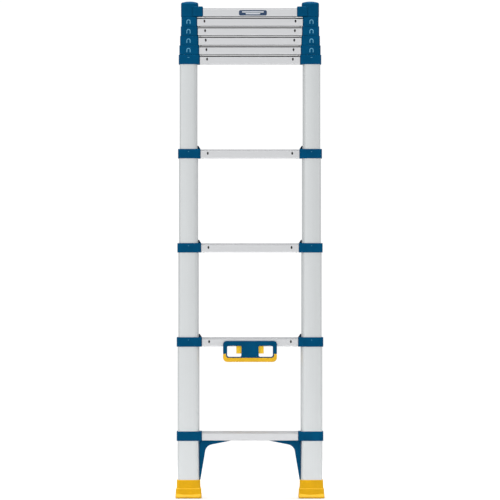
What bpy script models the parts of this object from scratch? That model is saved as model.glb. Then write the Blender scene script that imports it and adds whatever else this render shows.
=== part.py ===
"""Telescoping ladder: ten rungs, three sections drawn out and five nested at the top.

The bottom body carries the widest pair of tubes, rungs 1 and 2, the feet and the carrying handle.
Section 3 slides in the bottom body, section 4 in section 3, and so on up to section 10, which
carries the top caps. Front is -Y, up is +Z, left is -X. The origin is on the floor, midway
between the feet.
"""
import math

import bmesh
import bpy
from mathutils import Matrix, Vector

MM = 0.001

# Driving dimensions of the whole ladder
STILE_X = 194.0 * MM            # from the middle plane to the axis of a stile
RUNG_PITCH = 297.0 * MM         # between neighbouring rungs when drawn out
STACK_PITCH = 30.0 * MM         # between neighbouring rungs when nested
FIRST_TOP = 210.8 * MM          # top of the lowest collar
LAST_DRAWN_OUT = 5              # sections 3 to 5 are drawn out, 6 to 10 are nested
LAST = 10
GAP = 0.3 * MM                  # between fitted pieces that don't move on each other
OVERLAP = 2.0 * MM              # how far a joined or cutting shape reaches into its piece
PAST = 10.0 * MM                # how far a cutting shape reaches past its piece

# Stile tubes: each is TUBE_STEP smaller than the one outside it
TUBE_WIDTH = 68.0 * MM
TUBE_DEPTH = 58.0 * MM
TUBE_STEP = 4.2 * MM
TUBE_WALL = 1.4 * MM
TUBE_LENGTH = 365.0 * MM
TUBE_RUNG_SIDE_RADIUS = 13.0 * MM
TUBE_OUTER_SIDE_RADIUS = 7.0 * MM
RADIUS_STEP = 0.5 * MM
TUBE_TOP_DROP = 3.0 * MM        # a tube ends this far below the top of its collar

# Collars
COLLAR_HEIGHT = 29.7 * MM
COLLAR_OUTER_WALL = 3.3 * MM
COLLAR_RUNG_WALL = 8.2 * MM
COLLAR_RADIUS = 9.0 * MM
COLLAR_MIN_HALF_DEPTH = 22.5 * MM
LIP_CLEARANCE = 0.35 * MM       # collar lip to the tube that slides through it
PLUG_LENGTH = 14.0 * MM         # how far a collar reaches into the end of its rung
PLUG_RADIUS = 1.0 * MM
LIP_CUT_DEPTH = 5.0 * MM

# Rungs
RUNG_HALF_DEPTH = 21.0 * MM
RUNG_HEIGHT = 28.5 * MM
RUNG_FRONT_HEIGHT = 22.8 * MM   # the tread rises from here to the rear edge
RUNG_WALL = 1.8 * MM
RUNG_RADIUS = 3.0 * MM

# Lock bolts, their fins and the indicator windows
BOLT_DROP = 13.8 * MM           # bolt axis below the top of its collar
BOLT_RADIUS = 4.0 * MM
BOLT_CHAMFER = 1.0 * MM
BOLT_BORE = 4.4 * MM
BOLT_SHANK = 26.0 * MM
FLANGE_RADIUS = 7.0 * MM
FLANGE_LENGTH = 3.0 * MM
STEM_RADIUS = 2.5 * MM
SHORT_STEM = 20.0 * MM
PULL_HEAD_RADIUS = 4.5 * MM
FIN_HEIGHT = 10.4 * MM
FIN_APEX = 3.0 * MM
FIN_WIDTH = 9.0 * MM
FIN_ROOM = 0.6 * MM
FIN_ROOT = 1.0 * MM
FIN_TOE_INSET = 0.2 * MM
WINDOW_INSET = 22.8 * MM        # window centre from the collar's rung side
WINDOW_WIDTH = 4.0 * MM
WINDOW_HEIGHT = 7.0 * MM

# Corner brackets under the first rung
BRACKET_TIP_X = 60.0 * MM
BRACKET_ELBOW = (138.7 * MM, 165.7 * MM)
BRACKET_ELBOW_RADIUS = 26.0 * MM
BRACKET_FOOT_X = 156.3 * MM
BRACKET_HALF_DEPTH = 15.0 * MM
BRACKET_ROOT_HEIGHT = 8.0 * MM  # how far the brace reaches up into its collar

# Feet
FOOT_TOP = 58.1 * MM
FOOT_STEP = 31.6 * MM
FOOT_STEP_SLOPE = 1.5 * MM
SOLE = 8.0 * MM
FOOT_WALL = 2.8 * MM
FOOT_UPPER_FLARE = 1.2 * MM
FOOT_LOWER_WALL = 5.6 * MM
FOOT_LOWER_FLARE = 1.6 * MM

# Carrying handle on the second rung
HANDLE_HALF_WIDTH = 84.9 * MM
HANDLE_TOP = 496.1 * MM
HANDLE_BOTTOM = 430.1 * MM
HANDLE_FRONT = -34.5 * MM
HANDLE_BACK = -RUNG_HALF_DEPTH - GAP
HANDLE_RADIUS = 11.0 * MM
SHOULDER_Z = 456.0 * MM         # the frame is narrower below here, to take the grip
SHOULDER_HALF_WIDTH = 75.5 * MM
FRAME_BOTTOM = 443.3 * MM
FRAME_LOWER_RADIUS = 8.0 * MM
FINGER_INNER_X = 26.5 * MM
FINGER_OUTER_X = 71.9 * MM
FINGER_LOW_Z = 446.4 * MM
FINGER_HIGH_Z = 481.0 * MM
FINGER_RADIUS = 4.5 * MM
GRIP_FRONT = -36.0 * MM
GRIP_BACK = -16.0 * MM
GRIP_RADIUS = 14.0 * MM
GRIP_END_RADIUS = 2.0 * MM

# Release triggers
TRIGGER_TRAVEL = 7.0 * MM
TRIGGER_INNER_X = 23.0 * MM
TRIGGER_OUTER_X = 43.4 * MM
TRIGGER_LOW_Z = 456.6 * MM
TRIGGER_HIGH_Z = FINGER_HIGH_Z - GAP
TRIGGER_FRONT = -31.0 * MM
TRIGGER_BACK = -24.0 * MM
TRIGGER_RADIUS = 1.0 * MM
ARM_INNER_X = 34.0 * MM
ARM_OUTER_X = 40.0 * MM
ARM_HALF_DEPTH = 4.5 * MM
ARM_LOW_Z = 467.0 * MM
ARM_STEP_Z = 476.5 * MM
ARM_TOP_CLEARANCE = 6.0 * MM
SLOT_ROOM = 0.5 * MM            # around the arm where it passes through the rung
POCKET_ROOM = 1.0 * MM          # past the inner end of a trigger at full travel

# Top caps
CAP_BOTTOM = (FIRST_TOP + RUNG_PITCH * (LAST_DRAWN_OUT - 1) + STACK_PITCH * (LAST - LAST_DRAWN_OUT)
              - COLLAR_HEIGHT)
CAP_TOP = 1564.0 * MM
CAP_DOME = 1568.1 * MM
CAP_OUTER_X = 217.9 * MM
CAP_INNER_X = 163.2 * MM
CAP_CLAMP_X = 148.4 * MM
CAP_CLAMP_OUTER_X = 184.0 * MM
CAP_CLAMP_RADIUS = 4.0 * MM
DOME_INSET = 5.0 * MM
DOME_SIDES = 16
CAP_CLAMP_LOW_Z = CAP_BOTTOM + 0.9 * MM
CAP_CLAMP_TOP_Z = 1551.6 * MM
CAP_HALF_DEPTH = 21.0 * MM
CAP_RADIUS = 13.0 * MM
CAP_CLAMP_HALF_DEPTH = 23.5 * MM
CAP_RUNG_WALL = STILE_X - (TUBE_WIDTH - TUBE_STEP * (LAST - 2)) / 2 - CAP_CLAMP_X

# Corner and round resolution
ARC_STEPS = 3
ROUND_SIDES = 12
WIDE_ARC_STEPS = 7
SHARP_ANGLE = math.radians(40)
WELD_DISTANCE = 0.01 * MM

COLOURS = {
    "aluminium": ((0.66, 0.67, 0.68), 0.35, 0.9),
    "rung_aluminium": ((0.64, 0.65, 0.66), 0.4, 0.9),
    "blue_plastic": ((0.002, 0.072, 0.165), 0.45, 0.0),
    "yellow_rubber": ((0.78, 0.42, 0.018), 0.6, 0.0),
    "yellow_grip": ((0.75, 0.4, 0.03), 0.65, 0.0),
    "yellow_trigger": ((0.9, 0.42, 0.02), 0.4, 0.0),
    "steel": ((0.5, 0.5, 0.5), 0.3, 1.0),
}


def clear_scene():
    for leftover in list(bpy.data.objects):
        bpy.data.objects.remove(leftover)


def new_collection(name):
    collection = bpy.data.collections.new(name)
    bpy.context.scene.collection.children.link(collection)
    return collection


clear_scene()
LADDER = new_collection("telescoping_ladder")
CUTTERS = new_collection("cutters")


# Sizes that depend on the section number -------------------------------------------------------

def collar_top(number):
    """Height of the top of a collar at rest."""
    if number <= LAST_DRAWN_OUT:
        return FIRST_TOP + RUNG_PITCH * (number - 1)
    return FIRST_TOP + RUNG_PITCH * (LAST_DRAWN_OUT - 1) + STACK_PITCH * (number - LAST_DRAWN_OUT)


def tube_size(number):
    """Full width and depth of a section's tube; collar 1 and collar 2 hold the same tube."""
    steps = max(number, 2) - 2
    return TUBE_WIDTH - TUBE_STEP * steps, TUBE_DEPTH - TUBE_STEP * steps


def rung_side(number):
    """Distance from the middle plane to the face of a tube that looks at its rung."""
    return STILE_X - tube_size(number)[0] / 2


def collar_edge(number):
    """Distance from the middle plane to the side of a collar that meets its rung."""
    return rung_side(number) - (CAP_RUNG_WALL if number == LAST else COLLAR_RUNG_WALL)


def bolt_height(number):
    return collar_top(number) - BOLT_DROP


# Outlines --------------------------------------------------------------------------------------

def rounded(corners, steps=ARC_STEPS):
    """A closed outline from (x, y, radius) corners: each corner becomes an arc of the radius."""
    points = []
    count = len(corners)
    for index, (x, y, radius) in enumerate(corners):
        here = Vector((x, y))
        before = (Vector(corners[index - 1][:2]) - here).normalized()
        after = (Vector(corners[(index + 1) % count][:2]) - here).normalized()
        if radius == 0:
            points.append(here)
            continue
        half_angle = before.angle(after) / 2
        centre = here + (before + after).normalized() * (radius / math.sin(half_angle))
        start = here + before * (radius / math.tan(half_angle)) - centre
        sweep = start.angle_signed(here + after * (radius / math.tan(half_angle)) - centre)
        for step in range(steps + 1):
            points.append(centre + Matrix.Rotation(-sweep * step / steps, 2) @ start)
    return points


def rectangle(low_x, high_x, low_y, high_y, low_x_radius, high_x_radius=None):
    """A rounded rectangle whose two sides along X may have different corner radii."""
    high_x_radius = low_x_radius if high_x_radius is None else high_x_radius
    return rounded([(low_x, low_y, low_x_radius), (high_x, low_y, high_x_radius),
                    (high_x, high_y, high_x_radius), (low_x, high_y, low_x_radius)])


def tube_outline(number, side, offset):
    """Outline of a tube grown by an offset: wide corners on the rung side, tight ones outside."""
    width, depth = tube_size(number)
    shrink = RADIUS_STEP * (max(number, 2) - 2)
    rung_radius = TUBE_RUNG_SIDE_RADIUS - shrink + offset
    outer_radius = TUBE_OUTER_SIDE_RADIUS - shrink + offset
    low_radius, high_radius = (outer_radius, rung_radius) if side < 0 else (rung_radius, outer_radius)
    centre = side * STILE_X
    return rectangle(centre - width / 2 - offset, centre + width / 2 + offset,
                     -depth / 2 - offset, depth / 2 + offset, low_radius, high_radius)


def stile_rectangle(side, inner, outer, half_depth, radius):
    """A rounded rectangle between two distances from the middle plane, on one side of it."""
    low, high = sorted((side * inner, side * outer))
    return rectangle(low, high, -half_depth, half_depth, radius)


# Solids ----------------------------------------------------------------------------------------

def add_object(name, mesh, collection):
    piece = bpy.data.objects.new(name, mesh)
    collection.objects.link(piece)
    if collection is CUTTERS:
        piece.hide_render = True
        piece.display_type = "WIRE"
    return piece


def place(mesh, rows):
    """Moves a mesh's points by a 4 x 4 matrix given as rows."""
    mesh.transform(Matrix(rows))
    return mesh


def prism(name, outlines, low, high, collection=LADDER, along="Z"):
    """Extrudes an outline, and the holes that follow it, between two heights along an axis.

    An outline is in XY for Z, in XZ for Y and in YZ for X.
    """
    curve = bpy.data.curves.new(name, "CURVE")
    curve.dimensions = "2D"
    curve.fill_mode = "BOTH"
    curve.extrude = (high - low) / 2
    for outline in outlines:
        spline = curve.splines.new("POLY")
        spline.points.add(len(outline) - 1)
        for point, (x, y) in zip(spline.points, outline):
            point.co = (x, y, 0.0, 1.0)
        spline.use_cyclic_u = True
    holder = add_object(name, curve, collection)
    evaluated = holder.evaluated_get(bpy.context.evaluated_depsgraph_get())
    mesh = bpy.data.meshes.new_from_object(evaluated)
    bpy.data.objects.remove(holder)
    bpy.data.curves.remove(curve)
    middle = (low + high) / 2
    weld = bmesh.new()
    weld.from_mesh(mesh)
    bmesh.ops.remove_doubles(weld, verts=weld.verts, dist=WELD_DISTANCE)
    weld.to_mesh(mesh)
    weld.free()
    if along == "Z":
        place(mesh, ((1, 0, 0, 0), (0, 1, 0, 0), (0, 0, 1, middle), (0, 0, 0, 1)))
    elif along == "Y":
        place(mesh, ((1, 0, 0, 0), (0, 0, -1, middle), (0, 1, 0, 0), (0, 0, 0, 1)))
    else:
        place(mesh, ((0, 0, 1, middle), (1, 0, 0, 0), (0, 1, 0, 0), (0, 0, 0, 1)))
    mesh.name = name
    return add_object(name, mesh, collection)


def block(name, low, high, collection=CUTTERS):
    """An axis-aligned block between two opposite corners, given in any order."""
    cube = bmesh.new()
    bmesh.ops.create_cube(cube, size=1.0)
    for vertex in cube.verts:
        for axis in range(3):
            vertex.co[axis] = (low[axis] + high[axis]) / 2 + vertex.co[axis] * abs(high[axis] - low[axis])
    mesh = bpy.data.meshes.new(name)
    cube.to_mesh(mesh)
    cube.free()
    return add_object(name, mesh, collection)


def rod(name, centre, radius, low_x, high_x, collection=CUTTERS, stretch=1.0, along="X"):
    """A cylinder along X or Y between two positions; stretch lengthens its section along Z."""
    low_x, high_x = sorted((low_x, high_x))
    cylinder = bmesh.new()
    bmesh.ops.create_cone(cylinder, cap_ends=True, segments=ROUND_SIDES, radius1=radius,
                          radius2=radius, depth=high_x - low_x)
    turn = Matrix.Rotation(math.pi / 2, 4, "Y" if along == "X" else "X")
    middle = (low_x + high_x) / 2
    across, height = centre
    shift = (middle, across, height) if along == "X" else (across, middle, height)
    bmesh.ops.transform(cylinder, matrix=turn, verts=cylinder.verts)
    bmesh.ops.scale(cylinder, vec=(1, 1, stretch), verts=cylinder.verts)
    bmesh.ops.translate(cylinder, vec=shift, verts=cylinder.verts)
    mesh = bpy.data.meshes.new(name)
    cylinder.to_mesh(mesh)
    cylinder.free()
    return add_object(name, mesh, collection)


def combine(piece, other, operation):
    boolean = piece.modifiers.new(operation.lower() + "_" + other.name, "BOOLEAN")
    boolean.operation = operation
    boolean.solver = "EXACT"
    boolean.object = other


def cut(piece, cutter):
    combine(piece, cutter, "DIFFERENCE")


def join(piece, added):
    combine(piece, added, "UNION")


def set_origin(piece, point):
    """Puts a piece's origin at a point without moving its shape."""
    piece.data.transform(Matrix.Translation(-Vector(point)))
    piece.location = point


MATERIALS = {}


def paint(piece, finish):
    if finish not in MATERIALS:
        colour, roughness, metallic = COLOURS[finish]
        material = bpy.data.materials.new(finish)
        material.use_nodes = True
        shader = material.node_tree.nodes["Principled BSDF"]
        shader.inputs["Base Color"].default_value = (*colour, 1.0)
        shader.inputs["Roughness"].default_value = roughness
        shader.inputs["Metallic"].default_value = metallic
        MATERIALS[finish] = material
    own = MATERIALS[finish].copy()
    own.name = piece.name
    piece.data.materials.clear()
    piece.data.materials.append(own)
    piece.data.shade_smooth()
    piece.data.set_sharp_from_angle(angle=SHARP_ANGLE)


def side_name(side):
    return "left" if side < 0 else "right"


# Pieces ----------------------------------------------------------------------------------------

def make_tube(number, side):
    """A stile tube, with a hole for its own rung's bolt near the top and, on a sliding tube,
    the lock hole near the bottom that the bolt of the rung below drops into."""
    top = collar_top(number) - TUBE_TOP_DROP
    bottom = SOLE + GAP if number == 2 else top - TUBE_LENGTH
    tube = prism(f"tube_{number}_{side_name(side)}",
                 [tube_outline(number, side, 0.0), tube_outline(number, side, -TUBE_WALL)], bottom, top)
    wall = side * rung_side(number)
    holes = []
    if number < LAST:
        holes.append(bolt_height(number))
    if number > 2:
        holes.append(bolt_height(number) - RUNG_PITCH)
    for index, height in enumerate(holes):
        cut(tube, rod(f"{tube.name}_hole_{index}", (0.0, height), BOLT_BORE,
                      wall - side * PAST, wall + side * PAST))
    set_origin(tube, (side * STILE_X, 0.0, top))
    paint(tube, "aluminium")
    return tube


def fin_pocket(number, side):
    """The room in the underside of a collar and rung for the fin of the collar below."""
    bottom = collar_top(number) - COLLAR_HEIGHT
    inner = side * (collar_edge(number - 1) - FIN_ROOM)
    outer = side * (rung_side(number) + TUBE_WALL)
    half = FIN_WIDTH / 2 + FIN_ROOM
    return block(f"fin_pocket_{number}_{side_name(side)}", (inner, -half, bottom - OVERLAP),
                 (outer, half, bottom + FIN_HEIGHT + FIN_ROOM))


def make_fin(number, side):
    """The wedge on top of a collar that draws the next rung's bolt back when they nest."""
    top = collar_top(number)
    face = rung_side(number + 1) - LIP_CLEARANCE
    toe = collar_edge(number) + FIN_TOE_INSET
    outline = [(side * face, top - FIN_ROOT), (side * face, top + FIN_HEIGHT),
               (side * (face - FIN_APEX), top + FIN_HEIGHT),
               (side * toe, top), (side * toe, top - FIN_ROOT)]
    return prism(f"fin_{number}_{side_name(side)}", [outline], -FIN_WIDTH / 2, FIN_WIDTH / 2,
                 CUTTERS, "Y")


def collar_half_depth(number):
    return max(tube_size(number)[1] / 2 + COLLAR_OUTER_WALL, COLLAR_MIN_HALF_DEPTH)


def make_plug(number, side, low_z, high_z):
    """The spigot of a collar inside the end of its rung."""
    edge = collar_edge(number)
    room = RUNG_WALL + GAP
    slope = (RUNG_HEIGHT - RUNG_FRONT_HEIGHT) / (2 * RUNG_HALF_DEPTH)
    half = RUNG_HALF_DEPTH - room
    front_z = low_z + RUNG_FRONT_HEIGHT + slope * room - room
    rear_z = high_z - slope * room - room
    outline = rounded([(-half, low_z + room, PLUG_RADIUS), (half, low_z + room, PLUG_RADIUS),
                       (half, rear_z, PLUG_RADIUS), (-half, front_z, PLUG_RADIUS)], 1)
    low, high = sorted((side * (edge - PLUG_LENGTH), side * (edge + OVERLAP)))
    return prism(f"plug_{number}_{side_name(side)}", [outline], low, high, CUTTERS, "X")


def rung_low(number):
    return collar_top(number) - COLLAR_HEIGHT + (COLLAR_HEIGHT - RUNG_HEIGHT) / 2


def cut_collar(collar, number, side):
    """The bore for the collar's own tube, closed by a lip around the tube that slides in it."""
    top = collar_top(number)
    bore_top = top + PAST if number == 1 else top - TUBE_TOP_DROP + GAP
    bore_low = FOOT_TOP - PAST if number == 1 else top - COLLAR_HEIGHT - PAST
    cut(collar, prism(f"{collar.name}_bore", [tube_outline(number, side, GAP)], bore_low, bore_top,
                      CUTTERS))
    if number > 1:
        cut(collar, prism(f"{collar.name}_lip", [tube_outline(number + 1, side, LIP_CLEARANCE)],
                          top - LIP_CUT_DEPTH, top + FIN_HEIGHT + PAST, CUTTERS))
        cut(collar, rod(f"{collar.name}_bolt_bore", (0.0, bolt_height(number)), BOLT_BORE,
                        side * (collar_edge(number) - 2 * PLUG_LENGTH),
                        side * (rung_side(number) + OVERLAP)))
    if number > 2:
        cut(collar, fin_pocket(number, side))


def make_collar(number, side):
    """The moulding that holds a rung on its tube and guides the next tube."""
    top = collar_top(number)
    outer = STILE_X + tube_size(number)[0] / 2 + COLLAR_OUTER_WALL
    name = f"bracket_{side_name(side)}" if number == 1 else f"collar_{number}_{side_name(side)}"
    outline = stile_rectangle(side, collar_edge(number), outer, collar_half_depth(number), COLLAR_RADIUS)
    collar = prism(name, [outline], top - COLLAR_HEIGHT, top)
    low = rung_low(number)
    join(collar, make_plug(number, side, low, low + RUNG_HEIGHT))
    if number == 1:
        join(collar, make_gusset(side))
    else:
        join(collar, make_fin(number, side))
    cut_collar(collar, number, side)
    set_origin(collar, (side * STILE_X, 0.0, top))
    paint(collar, "blue_plastic")
    return collar


def make_gusset(side):
    """The curved corner brace from under the first rung down to the foot."""
    inside = STILE_X - TUBE_WIDTH / 2 + OVERLAP
    shelf = rung_low(1) - GAP
    root = collar_edge(1) + OVERLAP
    foot = FOOT_TOP + GAP
    corners = [(BRACKET_TIP_X, shelf, 0), (root, shelf, 0),
               (root, shelf + BRACKET_ROOT_HEIGHT, 0), (inside, shelf + BRACKET_ROOT_HEIGHT, 0),
               (inside, foot, 0), (BRACKET_FOOT_X, foot, 0),
               (BRACKET_ELBOW[0], BRACKET_ELBOW[1], BRACKET_ELBOW_RADIUS)]
    outline = rounded([(side * x, z, radius) for x, z, radius in corners], WIDE_ARC_STEPS)
    return prism(f"gusset_{side_name(side)}", [outline], -BRACKET_HALF_DEPTH, BRACKET_HALF_DEPTH,
                 CUTTERS, "Y")


def make_cap(side):
    """The closed top moulding on the narrowest tube, with the clamp for the top rung."""
    body = prism(f"cap_{side_name(side)}",
                 [stile_rectangle(side, CAP_INNER_X, CAP_OUTER_X, CAP_HALF_DEPTH, CAP_RADIUS)],
                 CAP_BOTTOM, CAP_TOP)
    dome = bmesh.new()
    bmesh.ops.create_uvsphere(dome, u_segments=DOME_SIDES, v_segments=DOME_SIDES // 2, radius=1.0)
    centre = side * (CAP_INNER_X + CAP_OUTER_X) / 2
    half_width = (CAP_OUTER_X - CAP_INNER_X) / 2 - DOME_INSET
    bmesh.ops.scale(dome, verts=dome.verts,
                    vec=(half_width, CAP_HALF_DEPTH - DOME_INSET, CAP_DOME - CAP_TOP))
    bmesh.ops.translate(dome, verts=dome.verts, vec=(centre, 0.0, CAP_TOP))
    mesh = bpy.data.meshes.new(body.name + "_dome")
    dome.to_mesh(mesh)
    dome.free()
    join(body, add_object(mesh.name, mesh, CUTTERS))
    clamp = stile_rectangle(side, CAP_CLAMP_X, CAP_CLAMP_OUTER_X, CAP_CLAMP_HALF_DEPTH, CAP_CLAMP_RADIUS)
    join(body, prism(body.name + "_clamp", [clamp], CAP_CLAMP_LOW_Z, CAP_CLAMP_TOP_Z, CUTTERS))
    low = rung_low(LAST)
    join(body, make_plug(LAST, side, low, low + RUNG_HEIGHT))
    cut(body, prism(body.name + "_bore", [tube_outline(LAST, side, GAP)], CAP_BOTTOM - PAST,
                    collar_top(LAST) - TUBE_TOP_DROP + GAP, CUTTERS))
    cut(body, fin_pocket(LAST, side))
    set_origin(body, (side * STILE_X, 0.0, collar_top(LAST)))
    paint(body, "blue_plastic")
    return body


def make_rung(number):
    """A hollow tread: flat front, top sloping up to the rear, notched for fins and bolts."""
    low = rung_low(number)
    end = collar_edge(number) - GAP

    def section(inset):
        slope = (RUNG_HEIGHT - RUNG_FRONT_HEIGHT) / (2 * RUNG_HALF_DEPTH)
        half = RUNG_HALF_DEPTH - inset
        radius = RUNG_RADIUS - inset
        front = low + RUNG_FRONT_HEIGHT + slope * inset - inset
        rear = low + RUNG_HEIGHT - slope * inset - inset
        return rounded([(-half, low + inset, radius), (half, low + inset, radius),
                        (half, rear, radius), (-half, front, radius)], 2)

    rung = prism(f"rung_{number}", [section(0.0), section(RUNG_WALL)], -end, end, along="X")
    for side in (-1, 1):
        if number > 2:
            cut(rung, fin_pocket(number, side))
        if 1 < number < LAST:
            centre = side * (collar_edge(number) - WINDOW_INSET)
            height = bolt_height(number)
            cut(rung, rod(f"window_{number}_{side_name(side)}", (centre, height), WINDOW_WIDTH / 2,
                          -RUNG_HALF_DEPTH - PAST, -RUNG_HALF_DEPTH + PAST,
                          stretch=WINDOW_HEIGHT / WINDOW_WIDTH, along="Y"))
        if number == 2:
            inner = side * (ARM_INNER_X - TRIGGER_TRAVEL - SLOT_ROOM)
            outer = side * (ARM_OUTER_X + SLOT_ROOM)
            half = ARM_HALF_DEPTH + SLOT_ROOM
            cut(rung, block(f"arm_slot_{side_name(side)}", (inner, -half, low - OVERLAP),
                            (outer, half, low + RUNG_WALL + OVERLAP)))
    set_origin(rung, (0.0, 0.0, low))
    paint(rung, "rung_aluminium")
    return rung


def make_foot(side):
    """A moulded boot: a flared lower part, a step, and a slimmer cuff around the tube."""
    width, depth = tube_size(2)
    centre = side * STILE_X
    levels = [(0.0, FOOT_LOWER_WALL + FOOT_LOWER_FLARE), (FOOT_STEP - FOOT_STEP_SLOPE, FOOT_LOWER_WALL),
              (FOOT_STEP, FOOT_WALL + FOOT_UPPER_FLARE), (FOOT_TOP, FOOT_WALL)]
    boot = bmesh.new()
    rings = []
    for height, wall in levels:
        radius = TUBE_OUTER_SIDE_RADIUS + wall
        outline = rectangle(centre - width / 2 - wall, centre + width / 2 + wall,
                            -depth / 2 - wall, depth / 2 + wall, radius)
        rings.append([boot.verts.new((x, y, height)) for x, y in outline])
    for lower, upper in zip(rings, rings[1:]):
        for index in range(len(lower)):
            following = (index + 1) % len(lower)
            boot.faces.new((lower[index], lower[following], upper[following], upper[index]))
    boot.faces.new(list(reversed(rings[0])))
    boot.faces.new(rings[-1])
    bmesh.ops.recalc_face_normals(boot, faces=boot.faces)
    mesh = bpy.data.meshes.new(f"foot_{side_name(side)}")
    boot.to_mesh(mesh)
    boot.free()
    foot = add_object(mesh.name, mesh, LADDER)
    cut(foot, prism(foot.name + "_bore", [tube_outline(2, side, GAP)], SOLE, FOOT_TOP + PAST, CUTTERS))
    set_origin(foot, (centre, 0.0, 0.0))
    paint(foot, "yellow_rubber")
    return foot


def finger_window(side):
    low, high = sorted((side * FINGER_INNER_X, side * FINGER_OUTER_X))
    return rectangle(low, high, FINGER_LOW_Z, FINGER_HIGH_Z, FINGER_RADIUS)


def shoulder_outline(grow):
    """The lower contour of the handle frame, grown by the gap that the grip keeps to it."""
    half = SHOULDER_HALF_WIDTH + grow
    radius = FRAME_LOWER_RADIUS + grow
    return half, FRAME_BOTTOM - grow, radius


def make_handle_frame():
    """The carrying handle's frame in front of and below the second rung, with two finger windows."""
    half, bottom, radius = shoulder_outline(0.0)
    wide = HANDLE_HALF_WIDTH
    outline = rounded([(-half, bottom, radius), (half, bottom, radius), (half, SHOULDER_Z, 0),
                       (wide, SHOULDER_Z, 0), (wide, HANDLE_TOP, HANDLE_RADIUS),
                       (-wide, HANDLE_TOP, HANDLE_RADIUS), (-wide, SHOULDER_Z, 0),
                       (-half, SHOULDER_Z, 0)])
    frame = prism("handle_frame", [outline, finger_window(-1), finger_window(1)],
                  HANDLE_FRONT, HANDLE_BACK, along="Y")
    for side in (-1, 1):
        inner = side * (TRIGGER_INNER_X - TRIGGER_TRAVEL - POCKET_ROOM)
        outer = side * (FINGER_INNER_X + PAST)
        cut(frame, block(f"trigger_pocket_{side_name(side)}",
                         (inner, TRIGGER_FRONT - GAP, TRIGGER_LOW_Z - GAP),
                         (outer, TRIGGER_BACK + GAP, FINGER_HIGH_Z)))
    set_origin(frame, (0.0, HANDLE_BACK, HANDLE_TOP))
    paint(frame, "blue_plastic")
    return frame


def make_handle_grip():
    """The soft U-shaped grip around the lower edge of the handle frame."""
    half, bottom, radius = shoulder_outline(GAP)
    top = SHOULDER_Z - GAP
    wide = HANDLE_HALF_WIDTH
    outline = rounded([(-wide, HANDLE_BOTTOM, GRIP_RADIUS), (wide, HANDLE_BOTTOM, GRIP_RADIUS),
                       (wide, top, GRIP_END_RADIUS), (half, top, 0), (half, bottom, radius),
                       (-half, bottom, radius), (-half, top, 0), (-wide, top, GRIP_END_RADIUS)])
    grip = prism("handle_grip", [outline], GRIP_FRONT, GRIP_BACK, along="Y")
    set_origin(grip, (0.0, HANDLE_BACK, HANDLE_BOTTOM))
    paint(grip, "yellow_grip")
    return grip


def make_trigger(side):
    """A finger tab in the handle window; its arm reaches up into the rung to the pull rod."""
    low, high = sorted((side * TRIGGER_INNER_X, side * TRIGGER_OUTER_X))
    trigger = prism(f"trigger_{side_name(side)}",
                    [rectangle(low, high, TRIGGER_LOW_Z, TRIGGER_HIGH_Z, TRIGGER_RADIUS)],
                    TRIGGER_FRONT, TRIGGER_BACK, along="Y")
    inner, outer = side * ARM_INNER_X, side * ARM_OUTER_X
    height = bolt_height(2)
    join(trigger, block(f"arm_{side_name(side)}", (inner, TRIGGER_BACK - OVERLAP, ARM_LOW_Z),
                        (outer, ARM_HALF_DEPTH, ARM_STEP_Z)))
    join(trigger, block(f"post_{side_name(side)}", (inner, -ARM_HALF_DEPTH, ARM_LOW_Z),
                        (outer, ARM_HALF_DEPTH, height + ARM_TOP_CLEARANCE)))
    cut(trigger, rod(f"pull_hole_{side_name(side)}", (0.0, height), STEM_RADIUS + GAP,
                     inner - side * PAST, outer + side * PAST))
    set_origin(trigger, (side * TRIGGER_INNER_X, 0.0, height))
    paint(trigger, "yellow_trigger")
    return trigger


def make_bolt(number, side):
    """A lock bolt on its axis: shank, spring flange and stem, which is the pull rod on rung 2."""
    tip = rung_side(number) + TUBE_WALL
    shoulder = tip - BOLT_SHANK
    stem_end = ARM_INNER_X - GAP if number == 2 else shoulder - FLANGE_LENGTH - SHORT_STEM
    profile = [(tip, 0.0), (tip, BOLT_RADIUS - BOLT_CHAMFER), (tip - BOLT_CHAMFER, BOLT_RADIUS),
               (shoulder, BOLT_RADIUS), (shoulder, FLANGE_RADIUS),
               (shoulder - FLANGE_LENGTH, FLANGE_RADIUS), (shoulder - FLANGE_LENGTH, STEM_RADIUS)]
    if number == 2:
        profile += [(stem_end, STEM_RADIUS), (stem_end, PULL_HEAD_RADIUS),
                    (stem_end - FLANGE_LENGTH, PULL_HEAD_RADIUS), (stem_end - FLANGE_LENGTH, 0.0)]
    else:
        profile += [(stem_end, STEM_RADIUS), (stem_end, 0.0)]
    height = bolt_height(number)
    turned = bmesh.new()
    points = [turned.verts.new((side * x, radius, height)) for x, radius in profile]
    edges = [turned.edges.new(pair) for pair in zip(points, points[1:])]
    bmesh.ops.spin(turned, geom=points + edges, cent=(0.0, 0.0, height), axis=(1.0, 0.0, 0.0),
                   dvec=(0.0, 0.0, 0.0), angle=2 * math.pi, steps=ROUND_SIDES, use_merge=True)
    bmesh.ops.remove_doubles(turned, verts=turned.verts, dist=WELD_DISTANCE)
    bmesh.ops.recalc_face_normals(turned, faces=turned.faces)
    mesh = bpy.data.meshes.new(f"lock_bolt_{number}_{side_name(side)}")
    turned.to_mesh(mesh)
    turned.free()
    bolt = add_object(mesh.name, mesh, LADDER)
    set_origin(bolt, (side * tip, 0.0, height))
    paint(bolt, "steel")
    return bolt


def build_ladder():
    for side in (-1, 1):
        make_foot(side)
        make_collar(1, side)
        for number in range(2, LAST):
            make_tube(number, side)
            make_collar(number, side)
        make_tube(LAST, side)
        make_cap(side)
        make_trigger(side)
        for number in range(2, LAST_DRAWN_OUT):
            make_bolt(number, side)
    for number in range(1, LAST + 1):
        make_rung(number)
    make_handle_frame()
    make_handle_grip()


build_ladder()
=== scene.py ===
"""Looks of a telescoping ladder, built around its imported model.

Front is -Y, up is +Z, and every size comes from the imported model's own boxes or from the settings
below. Left pieces are mirrored copies of right ones. All lengths are in metres.
"""
import math

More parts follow.
